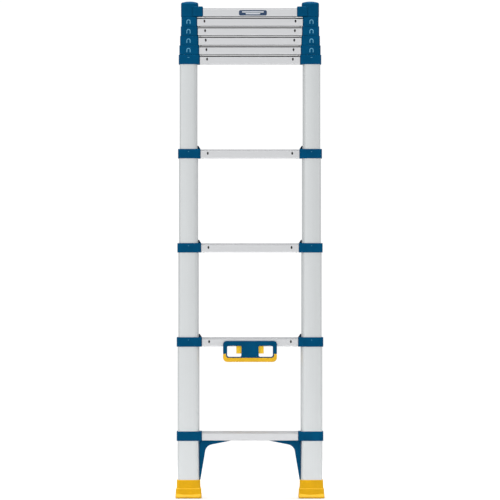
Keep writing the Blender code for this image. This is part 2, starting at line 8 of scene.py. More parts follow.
import bpy
import numpy as np
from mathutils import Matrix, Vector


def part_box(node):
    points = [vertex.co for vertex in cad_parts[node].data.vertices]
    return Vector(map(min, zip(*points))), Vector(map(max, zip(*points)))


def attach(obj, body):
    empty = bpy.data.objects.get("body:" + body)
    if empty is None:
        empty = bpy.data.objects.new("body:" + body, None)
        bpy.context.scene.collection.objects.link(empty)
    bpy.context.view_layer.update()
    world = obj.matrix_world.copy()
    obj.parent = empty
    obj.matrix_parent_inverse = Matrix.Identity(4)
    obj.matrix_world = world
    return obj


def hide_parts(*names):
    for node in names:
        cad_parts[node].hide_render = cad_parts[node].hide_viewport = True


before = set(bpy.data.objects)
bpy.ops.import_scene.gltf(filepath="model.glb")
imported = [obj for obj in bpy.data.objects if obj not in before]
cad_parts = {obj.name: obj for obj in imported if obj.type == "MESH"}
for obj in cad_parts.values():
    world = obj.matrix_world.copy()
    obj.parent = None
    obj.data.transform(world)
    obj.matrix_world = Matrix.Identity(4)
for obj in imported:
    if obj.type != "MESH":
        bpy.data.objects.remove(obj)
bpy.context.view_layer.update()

bl_info = {
    "name": "Telescoping Ladder",
    "version": (1, 0, 0),
    "blender": (4, 5, 0),
    "location": "3D View > Sidebar > Ladder",
    "description": "Builds the visible pieces and finishes of a telescoping ladder",
    "category": "Add Mesh",
}

MM = 0.001
SIDES = (("left", -1), ("right", 1))
LAST = 10                       # the top section
LAST_DRAWN_OUT = 5              # sections above this one are nested at rest
GAP = 0.3 * MM                  # between fitted pieces
ROUND_STEPS = 8                 # segments in a quarter round of an outline
EDGE_STEPS = 4                  # segments in a rounded edge
SHARP = math.radians(32)        # edges bent by more than this stay sharp


def linear(red, green, blue):
    """A display colour from 0 to 255 as the linear colour that shaders take."""
    values = np.array((red, green, blue)) / 255.0
    low = values / 12.92
    high = ((values + 0.055) / 1.055) ** 2.4
    return tuple(float(v) for v in np.where(values <= 0.04045, low, high))


# Settings --------------------------------------------------------------------------------------

class LadderShape(bpy.types.PropertyGroup):
    """Sizes of the visible detail."""

    edge: bpy.props.FloatProperty(
        name="Moulding edge", description="Radius of the moulded pieces' edges",
        default=1.6 * MM, min=0.2 * MM, max=3 * MM, unit="LENGTH")
    tube_wall: bpy.props.FloatProperty(
        name="Tube wall", description="Wall thickness of the stile tubes",
        default=1.4 * MM, min=0.8 * MM, max=2 * MM, unit="LENGTH")
    rung_wall: bpy.props.FloatProperty(
        name="Rung wall", description="Wall thickness of the rungs",
        default=1.8 * MM, min=1 * MM, max=3 * MM, unit="LENGTH")
    tread_grooves: bpy.props.IntProperty(
        name="Tread grooves", description="Grooves across the depth of a tread",
        default=9, min=0, max=14)
    groove_depth: bpy.props.FloatProperty(
        name="Groove depth", description="Depth of the grooves in the treads",
        default=0.8 * MM, min=0.0, max=1.2 * MM, unit="LENGTH")
    arch_height: bpy.props.FloatProperty(
        name="Arch relief", description="How far the arch marks stand out of the collars",
        default=0.8 * MM, min=0.2 * MM, max=1.5 * MM, unit="LENGTH")
    window_width: bpy.props.FloatProperty(
        name="Window width", description="Width of the lock indicator windows",
        default=4.2 * MM, min=2 * MM, max=6 * MM, unit="LENGTH")
    window_height: bpy.props.FloatProperty(
        name="Window height", description="Height of the lock indicator windows",
        default=8.0 * MM, min=4 * MM, max=10 * MM, unit="LENGTH")


def colour_property(name, description, default):
    return bpy.props.FloatVectorProperty(name=name, description=description, default=default,
                                         subtype="COLOR", size=3, min=0.0, max=1.0)


class LadderColours(bpy.types.PropertyGroup):
    """Colours of the finishes."""

    stile: colour_property("Stiles", "Anodised aluminium of the tubes", linear(212, 215, 216))
    rung: colour_property("Rungs", "Anodised aluminium of the treads", linear(212, 213, 215))
    moulding: colour_property("Mouldings", "Petrol blue plastic", linear(0, 68, 104))
    # The lighter blue of the arch marks is a painted highlight on the raised marks.
    arch: colour_property("Arch marks", "Lighter blue of the arch marks", linear(96, 160, 190))
    # The darker navy of the wedges is painted shade, a darker copy of the moulding blue.
    wedge: colour_property("Wedges", "Navy plastic of the release wedges", linear(4, 34, 58))
    foot: colour_property("Feet", "Yellow rubber", linear(214, 162, 14))
    grip: colour_property("Handle grip", "Yellow soft grip", linear(214, 168, 38))
    trigger: colour_property("Triggers", "Yellow release triggers", linear(226, 182, 14))
    locked: colour_property("Locked flag", "Flag shown while a bolt is locked", linear(30, 66, 34))
    released: colour_property("Released flag", "Flag shown while a bolt is released", linear(92, 10, 14))


class LadderStage(bpy.types.PropertyGroup):
    """Camera and studio light."""

    distance: bpy.props.FloatProperty(
        name="Camera distance", description="From the camera to the ladder",
        default=12.0, min=4.0, max=30.0, unit="LENGTH")
    view_height: bpy.props.FloatProperty(
        name="Camera height", description="Height of the camera above the floor",
        default=0.783, min=0.0, max=3.0, unit="LENGTH")
    frame_width: bpy.props.FloatProperty(
        name="Frame width", description="Width of the view at the ladder",
        default=1.58, min=0.5, max=6.0, unit="LENGTH")
    key_power: bpy.props.FloatProperty(
        name="Key light", description="Power of the left key light in watts",
        default=45.0, min=0.0, max=2000.0)
    fill_power: bpy.props.FloatProperty(
        name="Fill light", description="Power of the light behind the ladder in watts",
        default=45.0, min=0.0, max=2000.0)
    top_power: bpy.props.FloatProperty(
        name="Top light", description="Power of the overhead light in watts",
        default=190.0, min=0.0, max=2000.0)
    sky: bpy.props.FloatProperty(
        name="Ambient light", description="Strength of the even studio light",
        default=0.97, min=0.0, max=4.0)


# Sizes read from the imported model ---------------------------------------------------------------

COLLAR_HEIGHT = 29.7 * MM
RUNG_HEIGHT = 28.5 * MM
RUNG_FRONT_HEIGHT = 22.8 * MM
RUNG_INSET = (COLLAR_HEIGHT - RUNG_HEIGHT) / 2
BOLT_DROP = 13.8 * MM
BOLT_RADIUS = 4.0 * MM
TUBE_TOP_DROP = 3.0 * MM
LIP_CLEARANCE = 0.35 * MM
TUBE_RUNG_SIDE_RADIUS = 13.0 * MM
TUBE_OUTER_SIDE_RADIUS = 7.0 * MM
RADIUS_STEP = 0.5 * MM
CROWN = 1.3 * MM                # fall of a tube's front face towards its corners
CROWN_REACH = 0.42              # share of a half width that the crown's arc takes up
FAINT_CROWN = 0.05 * MM         # on moulded bands


class Tube:
    """Where the tube of a section is: its axis, half sizes, ends and corner radii."""

    def __init__(self, number):
        number = max(number, 2)
        low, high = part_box(f"tube_{number}_right")
        self.axis = (low.x + high.x) / 2
        self.half_width = (high.x - low.x) / 2
        self.half_depth = high.y
        self.low, self.top = low.z, high.z
        shrink = RADIUS_STEP * (number - 2)
        self.rung_radius = TUBE_RUNG_SIDE_RADIUS - shrink
        self.outer_radius = TUBE_OUTER_SIDE_RADIUS - shrink

    def outline(self, grow):
        """The tube's section grown by a distance.

        It has wide rounds on the rung side and tight ones outside.
        """
        return band_outline(self.axis - self.half_width - grow, self.axis + self.half_width + grow,
                            self.half_depth + grow, self.rung_radius + grow,
                            self.outer_radius + grow, CROWN)


class Collar:
    """Where the collar of a section is: its rung-side edge, outer side, half depth and heights."""

    def __init__(self, number):
        low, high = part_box(f"rung_{number}")
        name = {1: "bracket_right", LAST: "cap_right"}.get(number, f"collar_{number}_right")
        _, moulding_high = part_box(name)
        self.number = number
        self.edge = high.x + GAP
        self.outer = moulding_high.x
        self.half_depth = moulding_high.y
        self.rung_low = low.z
        self.rung_half_depth = high.y
        self.low = low.z - RUNG_INSET
        self.top = self.low + COLLAR_HEIGHT
        self.bolt = self.top - BOLT_DROP


def body_of_section(number):
    return "bottom" if number <= 2 else f"section_{number}"


# Outlines: arrays of points, and of outward normals, both going counter-clockwise ----------------

def unit(vectors):
    return vectors / np.linalg.norm(vectors, axis=-1, keepdims=True)


def rounded_outline(corners, steps=ROUND_STEPS):
    """A closed outline from rows of x, y and radius.

    Each corner becomes an arc whose centre lies on the corner's bisector, a radius over the sine
    of half the corner's angle away, and which starts and ends where it touches the two sides.
    """
    table = np.asarray(corners, float)
    points, radii = table[:, :2], table[:, 2]
    following = np.roll(points, -1, axis=0)
    if (points[:, 0] * following[:, 1] - following[:, 0] * points[:, 1]).sum() < 0:
        points, radii = points[::-1], radii[::-1]
    before = unit(np.roll(points, 1, axis=0) - points)
    after = unit(np.roll(points, -1, axis=0) - points)
    half = np.arccos(np.clip((before * after).sum(axis=1), -1, 1)) / 2
    centres = points + unit(before + after) * (radii / np.sin(half))[:, None]
    start = points + before * (radii / np.tan(half))[:, None] - centres
    turn = np.sign(after[:, 0] * before[:, 1] - after[:, 1] * before[:, 0])
    angles = (np.arctan2(start[:, 1], start[:, 0])[:, None]
              + (turn * (math.pi - 2 * half))[:, None] * np.linspace(0, 1, steps + 1))
    arcs = np.stack((np.cos(angles), np.sin(angles)), axis=-1)
    placed = centres[:, None] + radii[:, None, None] * arcs
    return placed.reshape(-1, 2), (arcs * turn[:, None, None]).reshape(-1, 2)


def box_outline(low_x, high_x, low_y, high_y, low_radius, high_radius=None, steps=ROUND_STEPS):
    """A rounded rectangle whose two sides along X may have different corner radii."""
    high_radius = low_radius if high_radius is None else high_radius
    return rounded_outline([(low_x, low_y, low_radius), (high_x, low_y, high_radius),
                            (high_x, high_y, high_radius), (low_x, high_y, low_radius)], steps)


def band_outline(low, high, deep, inner, outer, crown):
    """A rounded rectangle across the middle plane, with its own corner radius at each side.

    The front and the rear are roofs whose ridge is an arc, so they fall by the crown from the
    middle to the corners. The arc's radius gives it a set share of the face.
    """
    middle, half, shoulder = (low + high) / 2, (high - low) / 2, deep - crown
    ridge = CROWN_REACH * half ** 2 / crown
    return rounded_outline([(low, -shoulder, inner), (middle, -deep, ridge), (high, -shoulder, outer),
                            (high, shoulder, outer), (middle, deep, ridge), (low, shoulder, inner)])


def round_outline(centre, width, height, count=24):
    """An ellipse around a centre, as points and outward normals."""
    angles = np.linspace(0, 2 * math.pi, count, endpoint=False)
    circle = np.stack((np.cos(angles), np.sin(angles)), axis=-1)
    return np.asarray(centre) + circle * (width / 2, height / 2), circle


# Surfaces --------------------------------------------------------------------------------------

def to_space(flat, height, along):
    """Points of an outline, at a height along an axis.

    An outline is seen from the front for Y, with its height towards -Y; from above for Z; and
    from the right for X.
    """
    first, second = flat[..., 0], flat[..., 1]
    height = np.broadcast_to(height, first.shape)
    order = {"Z": (first, second, height), "Y": (first, -height, second), "X": (height, first, second)}
    return np.stack(order[along], axis=-1)


def edge_levels(low, high, radius, steps=EDGE_STEPS, low_radius=None):
    """(offset, height) pairs up a wall whose lower and upper edges are quarter rounds."""
    low_radius = radius if low_radius is None else low_radius
    angles = np.linspace(0, math.pi / 2, steps + 1)
    lower = np.stack((low_radius * (np.sin(angles) - 1), low + low_radius * (1 - np.cos(angles))), -1)
    upper = np.stack((radius * (np.sin(angles) - 1), high - radius * (1 - np.cos(angles))), -1)[::-1]
    return np.concatenate((lower, upper))


def wall(outline, levels, along="Z"):
    """The closed rings of an outline carried through (offset, height) levels."""
    points, normals = outline
    flat = points[None] + normals[None] * levels[:, 0, None, None]
    return to_space(flat, levels[:, 1, None], along)


def loft(rings, closed=False):
    """Points and faces of a skin over rings of equal length.

    Quads join each ring to the next. A closed skin also joins the last ring to the first, and an
    open one is capped at both ends.
    """
    rings = np.asarray(rings)
    count, around = rings.shape[:2]
    index = np.arange(count * around).reshape(count, around)
    near = index if closed else index[:-1]
    far = np.roll(index, -1, axis=0) if closed else index[1:]
    quads = np.stack((near, np.roll(near, -1, axis=1), np.roll(far, -1, axis=1), far), axis=-1)
    faces = quads.reshape(-1, 4).tolist()
    if not closed:
        faces += [index[0, ::-1].tolist(), index[-1].tolist()]
    return rings.reshape(-1, 3), faces


def prism(outline, low, high, along="Z", edge=0.0, steps=EDGE_STEPS):
    """A solid with an outline as its section and, if asked, rounded ends."""
    levels = edge_levels(low, high, edge, steps) if edge else np.array(((0.0, low), (0.0, high)))
    return loft(wall(outline, levels, along))


def turned(profile, centre, count=24, closed=False):
    """A skin turned about a line along X through (y, z) centre, from (x, radius) pairs.

    A closed profile makes a ring that is open in the middle.
    """
    profile = np.asarray(profile, float)
    angles = np.linspace(0, 2 * math.pi, count, endpoint=False)
    radius = profile[:, 1, None]
    rings = np.stack((np.broadcast_to(profile[:, 0, None], (len(profile), count)),
                      centre[0] + radius * np.cos(angles),
                      centre[1] + radius * np.sin(angles)), axis=-1)
    return loft(rings, closed)


def merged(*solids):
    """Several separate solids as one set of points and faces."""
    points, faces, base = [], [], 0
    for solid_points, solid_faces in solids:
        points.append(solid_points)
        faces += [[corner + base for corner in face] for face in solid_faces]
        base += len(solid_points)
    return np.concatenate(points), faces


def mirrored(solid, side):
    """The same solid on the left: X changes sign and every face is turned round."""
    points, faces = solid
    if side > 0:
        return points, faces
    return points * (-1, 1, 1), [face[::-1] for face in faces]


def new_object(name, solid):
    points, faces = solid
    mesh = bpy.data.meshes.new(name)
    mesh.from_pydata(points.tolist(), [], faces)
    mesh.update()
    piece = bpy.data.objects.new(name, mesh)
    bpy.context.scene.collection.objects.link(piece)
    return piece


def carve(piece, cuts=(), joins=()):
    """Joins solids to a piece, then cuts others away, and keeps the result as its mesh."""
    tools = []
    for operation, solids in (("UNION", joins), ("DIFFERENCE", cuts)):
        for solid in solids:
            tool = new_object("tool", solid)
            tools.append(tool)
            boolean = piece.modifiers.new(operation.lower(), "BOOLEAN")
            boolean.operation = operation
            boolean.solver = "EXACT"
            boolean.object = tool
    keep_modified(piece)
    for tool in tools:
        mesh = tool.data
        bpy.data.objects.remove(tool)
        bpy.data.meshes.remove(mesh)


def keep_modified(piece):
    """Replaces a piece's mesh with what its modifiers make of it."""
    if not piece.modifiers:
        return
    evaluated = piece.evaluated_get(bpy.context.evaluated_depsgraph_get())
    mesh = bpy.data.meshes.new_from_object(evaluated)
    old = piece.data
    piece.modifiers.clear()
    piece.data = mesh
    bpy.data.meshes.remove(old)
    mesh.name = piece.name


def soften(piece, width, segments=2):
    """Rounds the sharp edges that a cut has left."""
    bevel = piece.modifiers.new("soften", "BEVEL")
    bevel.width = width
    bevel.segments = segments
    bevel.limit_method = "ANGLE"
    bevel.angle_limit = SHARP
    bevel.use_clamp_overlap = True
    keep_modified(piece)


def complete(piece, body, finish, nodes=()):
    """Shades a piece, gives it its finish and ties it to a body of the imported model."""
    piece.data.shade_smooth()
    piece.data.set_sharp_from_angle(angle=SHARP)
    flatten = piece.modifiers.new("flat faces stay flat", "WEIGHTED_NORMAL")
    flatten.keep_sharp = True
    keep_modified(piece)
    piece.data.materials.clear()
    piece.data.materials.append(FINISHES[finish])
    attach(piece, body)
    if nodes:
        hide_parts(*nodes)


# Shader building blocks ---------------------------------------------------------------------------

GROUPS = {}
FINISHES = {}
SLOTS = {"stile": "stile_aluminium", "rung": "rung_aluminium", "foot": "foot_rubber",
         "grip": "grip_rubber", "steel": "bolt_steel",
         **dict.fromkeys(("trigger", "locked", "released"), "trigger_plastic"),
         **dict.fromkeys(("moulding", "arch", "wedge", "bezel", "label", "print"), "blue_moulding")}


def node(tree, kind, inputs=(), **settings):
    """Adds a shader node. Inputs are given by name or number, as a value or as a socket to link."""
    made = tree.nodes.new(kind)
    for key, value in settings.items():
        setattr(made, key, value)
    for key, value in dict(inputs).items():
        if isinstance(value, bpy.types.NodeSocket):
            tree.links.new(value, made.inputs[key])
        else:
            made.inputs[key].default_value = value
    return made


def mix(tree, factor, first, second):
    """Blends two colours by a factor."""
    return node(tree, "ShaderNodeMix", {0: factor, 6: first, 7: second}, data_type="RGBA").outputs[2]


def remap(tree, value, low, high, to_low, to_high):
    """Maps a range of values to another, clamped."""
    return node(tree, "ShaderNodeMapRange", {0: value, 1: low, 2: high, 3: to_low, 4: to_high}).outputs[0]


def calculate(tree, operation, first, second):
    return node(tree, "ShaderNodeMath", {0: first, 1: second}, operation=operation).outputs[0]


def noise(tree, vector, scale, detail=2.0, roughness=0.5):
    return node(tree, "ShaderNodeTexNoise", {"Vector": vector, "Scale": scale, "Detail": detail,
                                             "Roughness": roughness}).outputs[0]


def stretched(tree, vector, scale):
    """Scales coordinates by a different amount along each axis."""
    return node(tree, "ShaderNodeMapping", {"Vector": vector, "Scale": scale}).outputs[0]


def object_coordinates(tree):
    return node(tree, "ShaderNodeTexCoord").outputs["Object"]


def new_group(name, inputs, outputs):
    """An empty node group with named sockets, and its input and output nodes."""
    group = bpy.data.node_groups.new(name, "ShaderNodeTree")
    for label, kind, default in inputs:
        socket = group.interface.new_socket(label, in_out="INPUT", socket_type=kind)
        if default is not None:
            socket.default_value = default
    for label, kind in outputs:
        group.interface.new_socket(label, in_out="OUTPUT", socket_type=kind)
    return group, node(group, "NodeGroupInput"), node(group, "NodeGroupOutput")


def use_group(tree, name, inputs):
    """Places one of the shared node groups in a material. Its inputs are given as for node."""
    return node(tree, "ShaderNodeGroup", inputs, node_tree=GROUPS[name])


def draw_lines_group():
    """Fine parallel lines left by the extrusion die, with broader soft bands between them."""
    group, given, out = new_group(
        "Draw Lines", [("Vector", "NodeSocketVector", None), ("Fineness", "NodeSocketFloat", 1.0)],
        [("Lines", "NodeSocketFloat"), ("Bands", "NodeSocketFloat")])
    vector = given.outputs["Vector"]
    scaled = node(group, "ShaderNodeVectorMath", {0: vector, "Scale": given.outputs["Fineness"]},
                  operation="SCALE").outputs[0]
    lines = remap(group, noise(group, scaled, 1.0, 3.0, 0.65), 0.3, 0.7, 0.0, 1.0)
    bands = remap(group, noise(group, scaled, 0.16, 1.0, 0.5), 0.3, 0.7, 0.0, 1.0)
    group.links.new(lines, out.inputs["Lines"])
    group.links.new(bands, out.inputs["Bands"])
    return group


def scuffs_group():
    """A mask of sparse thin scratches, longer along one axis, and of soft handling smudges."""
    group, given, out = new_group(
        "Scuffs", [("Vector", "NodeSocketVector", None), ("Amount", "NodeSocketFloat", 0.5)],
        [("Scratches", "NodeSocketFloat"), ("Smudges", "NodeSocketFloat")])
    vector = given.outputs["Vector"]
    amount = given.outputs["Amount"]
    lines = noise(group, vector, 1.0, 1.0, 0.5)
    thin = remap(group, calculate(group, "ABSOLUTE", calculate(group, "SUBTRACT", lines, 0.5), 0.0),
                 0.0, 0.012, 1.0, 0.0)
    patches = remap(group, noise(group, vector, 0.21, 2.0, 0.6), 0.56, 0.66, 0.0, 1.0)
    scratches = calculate(group, "MULTIPLY", calculate(group, "MULTIPLY", thin, patches), amount)
    smudges = remap(group, noise(group, vector, 0.09, 3.0, 0.55), 0.35, 0.75, 0.0, 1.0)
    group.links.new(scratches, out.inputs["Scratches"])
    group.links.new(calculate(group, "MULTIPLY", smudges, amount), out.inputs["Smudges"])
    return group


def grain_group():
    """The fine spark-eroded grain of a moulded surface, and a slow mottle in its colour."""
    group, given, out = new_group(
        "Moulded Grain", [("Vector", "NodeSocketVector", None), ("Size", "NodeSocketFloat", 0.0006)],
        [("Grain", "NodeSocketFloat"), ("Mottle", "NodeSocketFloat")])
    vector = given.outputs["Vector"]
    per_metre = calculate(group, "DIVIDE", 1.0, given.outputs["Size"])
    fine = noise(group, vector, per_metre, 2.0, 0.6)
    coarse = noise(group, vector, calculate(group, "MULTIPLY", per_metre, 0.35), 1.0, 0.5)
    group.links.new(calculate(group, "ADD", calculate(group, "MULTIPLY", fine, 0.7),
                              calculate(group, "MULTIPLY", coarse, 0.3)), out.inputs["Grain"])
    group.links.new(remap(group, noise(group, vector, 26.0, 3.0, 0.55), 0.3, 0.7, 0.0, 1.0),
                    out.inputs["Mottle"])
    return group


def edge_group():
    """A mask of the outer edges, where the rounded normal leaves the true one, broken up by noise."""
    group, given, out = new_group(
        "Edge Wear", [("Vector", "NodeSocketVector", None), ("Width", "NodeSocketFloat", 0.0008)],
        [("Wear", "NodeSocketFloat")])
    rounded = node(group, "ShaderNodeBevel", {"Radius": given.outputs["Width"]}, samples=4).outputs[0]
    true = node(group, "ShaderNodeNewGeometry").outputs["Normal"]
    likeness = node(group, "ShaderNodeVectorMath", {0: rounded, 1: true}, operation="DOT_PRODUCT").outputs[1]
    edge = remap(group, likeness, 0.995, 0.9, 0.0, 1.0)
    broken = remap(group, noise(group, given.outputs["Vector"], 220.0, 3.0, 0.7), 0.42, 0.62, 0.0, 1.0)
    group.links.new(calculate(group, "MULTIPLY", edge, broken), out.inputs["Wear"])
    return group


def floor_dust_group():
    """A mask that is strongest at the floor and fades upwards unevenly."""
    group, given, out = new_group(
        "Floor Dust", [("Vector", "NodeSocketVector", None), ("Reach", "NodeSocketFloat", 0.03)],
        [("Dust", "NodeSocketFloat")])
    height = node(group, "ShaderNodeSeparateXYZ", {0: given.outputs["Vector"]}).outputs[2]
    fade = remap(group, calculate(group, "DIVIDE", height, given.outputs["Reach"]), 0.0, 1.0, 1.0, 0.0)
    patches = remap(group, noise(group, given.outputs["Vector"], 90.0, 4.0, 0.65), 0.35, 0.7, 0.0, 1.0)
    group.links.new(calculate(group, "MULTIPLY", fade, patches), out.inputs["Dust"])
    return group


def build_groups():
    for name, builder in (("lines", draw_lines_group), ("scuffs", scuffs_group), ("grain", grain_group),
                          ("edge", edge_group), ("dust", floor_dust_group)):
        GROUPS[name] = builder()


def new_finish(name, metallic=0.0, specular=0.5, coat=0.0):
    """A material with an unlinked Principled shader, its tree and its object coordinates."""
    material = bpy.data.materials.new(name)
    material.use_nodes = True
    tree = material.node_tree
    shader = tree.nodes["Principled BSDF"]
    shader.inputs["Metallic"].default_value = metallic
    shader.inputs["Specular IOR Level"].default_value = specular
    shader.inputs["Coat Weight"].default_value = coat
    return material, tree, shader, object_coordinates(tree)


def bump(tree, shader, height, strength, distance):
    made = node(tree, "ShaderNodeBump", {"Strength": strength, "Distance": distance, "Height": height})
    tree.links.new(made.outputs[0], shader.inputs["Normal"])


def upwardness(tree):
    """How far a surface faces up: the Z of its normal."""
    normal = node(tree, "ShaderNodeNewGeometry").outputs["Normal"]
    return node(tree, "ShaderNodeSeparateXYZ", {0: normal}).outputs[2]


def scaled_colour(colour, factor):
    """A colour made lighter or darker, with its alpha."""
    return tuple(min(1.0, channel * factor) for channel in colour) + (1.0,)


# Reach of the painted shade in the tread grooves.
GROOVE_SHADE_REACH = 1.5 * MM
# Paler yellow painted on the upward faces of the feet as painted light.
UPWARD_LIT_RUBBER = (0.95, 0.56, 0.05, 1.0)


def aluminium_finish(name, colour, along):
    """Satin anodised extrusion: die lines along its length, faint smudges and fine scratches; on the rungs,
    painted shade on upward faces and in the grooves.
    """
    material, tree, shader, place = new_finish(name, metallic=0.92, specular=0.5)
    shader.inputs["Specular Tint"].default_value = (0.55, 0.55, 0.56, 1.0)
    long_scale, cross_scale = 3.0, 1400.0
    scale = (cross_scale, cross_scale, long_scale) if along == "Z" else (long_scale, cross_scale, cross_scale)
    lines = use_group(tree, "lines", {"Vector": stretched(tree, place, scale), "Fineness": 1.0})
    scratch_scale = (260.0, 260.0, 14.0) if along == "Z" else (14.0, 260.0, 260.0)
    scuffs = use_group(tree, "scuffs",
                         {"Vector": stretched(tree, place, scratch_scale), "Amount": 0.5})
    base = mix(tree, lines.outputs["Lines"], scaled_colour(colour, 0.97), scaled_colour(colour, 1.03))
    base = mix(tree, calculate(tree, "MULTIPLY", lines.outputs["Bands"], 0.5), base,
               scaled_colour(colour, 0.98))
    base = mix(tree, scuffs.outputs["Scratches"], base, scaled_colour(colour, 1.15))
    if along == "X":
        # Painted shade: the upward faces of the treads are darker.
        tread_painted_shade = remap(tree, upwardness(tree), 0.25, 0.75, 0.0, 1.0)
        base = mix(tree, tread_painted_shade, base, scaled_colour(colour, 0.8))
        # Painted shade: grooves and other closed-in places darken where ambient occlusion finds nearby
        # surfaces.
        open_air = node(tree, "ShaderNodeAmbientOcclusion", {"Distance": GROOVE_SHADE_REACH},
                        samples=6).outputs["AO"]
        groove_painted_shade = remap(tree, open_air, 0.35, 0.9, 0.12, 0.0)
        base = mix(tree, groove_painted_shade, base, scaled_colour(colour, 0.2))
    tree.links.new(base, shader.inputs["Base Color"])
    rough = remap(tree, lines.outputs["Lines"], 0.0, 1.0, 0.30, 0.37)
    rough = calculate(tree, "ADD", rough, calculate(tree, "MULTIPLY", scuffs.outputs["Smudges"], 0.12))
    tree.links.new(rough, shader.inputs["Roughness"])
    height = calculate(tree, "SUBTRACT", lines.outputs["Lines"], scuffs.outputs["Scratches"])
    bump(tree, shader, height, 0.25, 0.00004)
    return material


def moulding_finish(name, colour):
    """Glass-filled plastic: spark grain, slow mottle, paler rubbed edges."""
    material, tree, shader, place = new_finish(name, specular=0.03)
    grain = use_group(tree, "grain", {"Vector": place, "Size": 0.0007})
    wear = use_group(tree, "edge", {"Vector": place, "Width": 0.0009})
    base = mix(tree, grain.outputs["Mottle"], scaled_colour(colour, 0.9), scaled_colour(colour, 1.12))
    paler = (colour[0] + 0.01, colour[1] * 1.5 + 0.02, colour[2] * 1.4 + 0.03, 1.0)
    base = mix(tree, calculate(tree, "MULTIPLY", wear.outputs["Wear"], 0.3), base, paler)
    tree.links.new(base, shader.inputs["Base Color"])
    rough = remap(tree, grain.outputs["Mottle"], 0.0, 1.0, 0.46, 0.56)
    rough = calculate(tree, "SUBTRACT", rough, calculate(tree, "MULTIPLY", wear.outputs["Wear"], 0.12))
    tree.links.new(rough, shader.inputs["Roughness"])
    bump(tree, shader, grain.outputs["Grain"], 0.35, 0.00012)
    return material


def rubber_finish(name, colour, grain_size, dusty):
    """Dyed rubber: soft grain, uneven bloom and, on the feet, painted light on the upward slopes and floor
    dust.
    """
    material, tree, shader, place = new_finish(name, specular=0.12)
    grain = use_group(tree, "grain", {"Vector": place, "Size": grain_size})
    base = mix(tree, grain.outputs["Mottle"], scaled_colour(colour, 0.93), scaled_colour(colour, 1.07))
    wear = use_group(tree, "edge", {"Vector": place, "Width": 0.0014})
    base = mix(tree, calculate(tree, "MULTIPLY", wear.outputs["Wear"], 0.3), base,
               scaled_colour(colour, 1.3))
    if dusty:
        # Painted light: faces of the feet that tilt upwards are paler.
        slope_painted_light = remap(tree, upwardness(tree), 0.12, 0.4, 0.0, 0.8)
        base = mix(tree, slope_painted_light, base, UPWARD_LIT_RUBBER)
        dust = use_group(tree, "dust", {"Vector": place, "Reach": 0.012})
        base = mix(tree, calculate(tree, "MULTIPLY", dust.outputs["Dust"], 0.25), base,
                   (0.42, 0.36, 0.22, 1.0))
    tree.links.new(base, shader.inputs["Base Color"])
    tree.links.new(remap(tree, grain.outputs["Mottle"], 0.0, 1.0, 0.58, 0.7), shader.inputs["Roughness"])
    bump(tree, shader, grain.outputs["Grain"], 0.4, 0.00018)
    return material


def gloss_finish(name, colour, roughness=0.32):
    """Smooth moulded plastic with a faint ripple and rubbed edges."""
    material, tree, shader, place = new_finish(name, specular=0.45)
    grain = use_group(tree, "grain", {"Vector": place, "Size": 0.0016})
    base = mix(tree, grain.outputs["Mottle"], scaled_colour(colour, 0.94), scaled_colour(colour, 1.06))
    tree.links.new(base, shader.inputs["Base Color"])
    tree.links.new(remap(tree, grain.outputs["Grain"], 0.3, 0.7, roughness, roughness + 0.08),
                   shader.inputs["Roughness"])
    bump(tree, shader, grain.outputs["Grain"], 0.15, 0.0001)
    return material


def steel_finish(name):
    """Zinc-plated turned steel: tool rings around the axis and a slightly cloudy plating."""
    material, tree, shader, place = new_finish(name, metallic=1.0)
    rings = noise(tree, stretched(tree, place, (2600.0, 40.0, 40.0)), 1.0, 2.0, 0.6)
    cloud = noise(tree, place, 180.0, 3.0, 0.6)
    tree.links.new(mix(tree, cloud, (0.50, 0.51, 0.53, 1.0), (0.66, 0.66, 0.64, 1.0)),
                   shader.inputs["Base Color"])
    tree.links.new(remap(tree, rings, 0.3, 0.7, 0.22, 0.38), shader.inputs["Roughness"])
    bump(tree, shader, rings, 0.3, 0.00003)
    return material


def build_finishes():
    colours = bpy.context.scene.ladder_colours
    build_groups()
    FINISHES.update(
        stile=aluminium_finish("stile_aluminium", colours.stile, "Z"),
        rung=aluminium_finish("rung_aluminium", colours.rung, "X"),
        moulding=moulding_finish("blue_moulding", colours.moulding),
        arch=moulding_finish("arch_blue", colours.arch),
        wedge=moulding_finish("wedge_navy", colours.wedge),
        foot=rubber_finish("foot_rubber", colours.foot, 0.0011, True),
        grip=rubber_finish("grip_rubber", colours.grip, 0.0006, False),
        trigger=gloss_finish("trigger_plastic", colours.trigger),
        locked=gloss_finish("locked_flag", colours.locked, 0.5),
        released=gloss_finish("released_flag", colours.released, 0.5),
        bezel=gloss_finish("window_bezel", linear(28, 28, 30), 0.45),
        label=gloss_finish("label_vinyl", linear(24, 52, 84), 0.3),
        print=gloss_finish("label_print", linear(214, 218, 222), 0.35),
        steel=steel_finish("zinc_steel"),
    )


# Pieces ------------------------------------------------------------------------------------------

HOLE_RADIUS = 4.4 * MM
TUBE_RIM = 0.4 * MM
LOCK_HOLE_DEPTH = 10 * MM


def cross_hole(x, z, radius, length, count=24):
    """A cutting cylinder along X around a point on the middle plane of the stile."""
    return turned(((x - length, 0.0001 * MM), (x - length, radius), (x + length, radius),
                   (x + length, 0.0001 * MM)), (0.0, z), count)


def stile_solid(number, thickness):
    """A hollow tube: the section carried up its length, over a small rim and down inside."""
    tube = Tube(number)
    low, top = tube.low, tube.top
    outside = wall(tube.outline(0.0), edge_levels(low, top, TUBE_RIM, 2))
    inner_levels = edge_levels(low, top, TUBE_RIM, 2) * (-1, 1)
    inside = wall(tube.outline(-thickness), inner_levels)[::-1]
    return loft(np.concatenate((outside, inside)), closed=True)


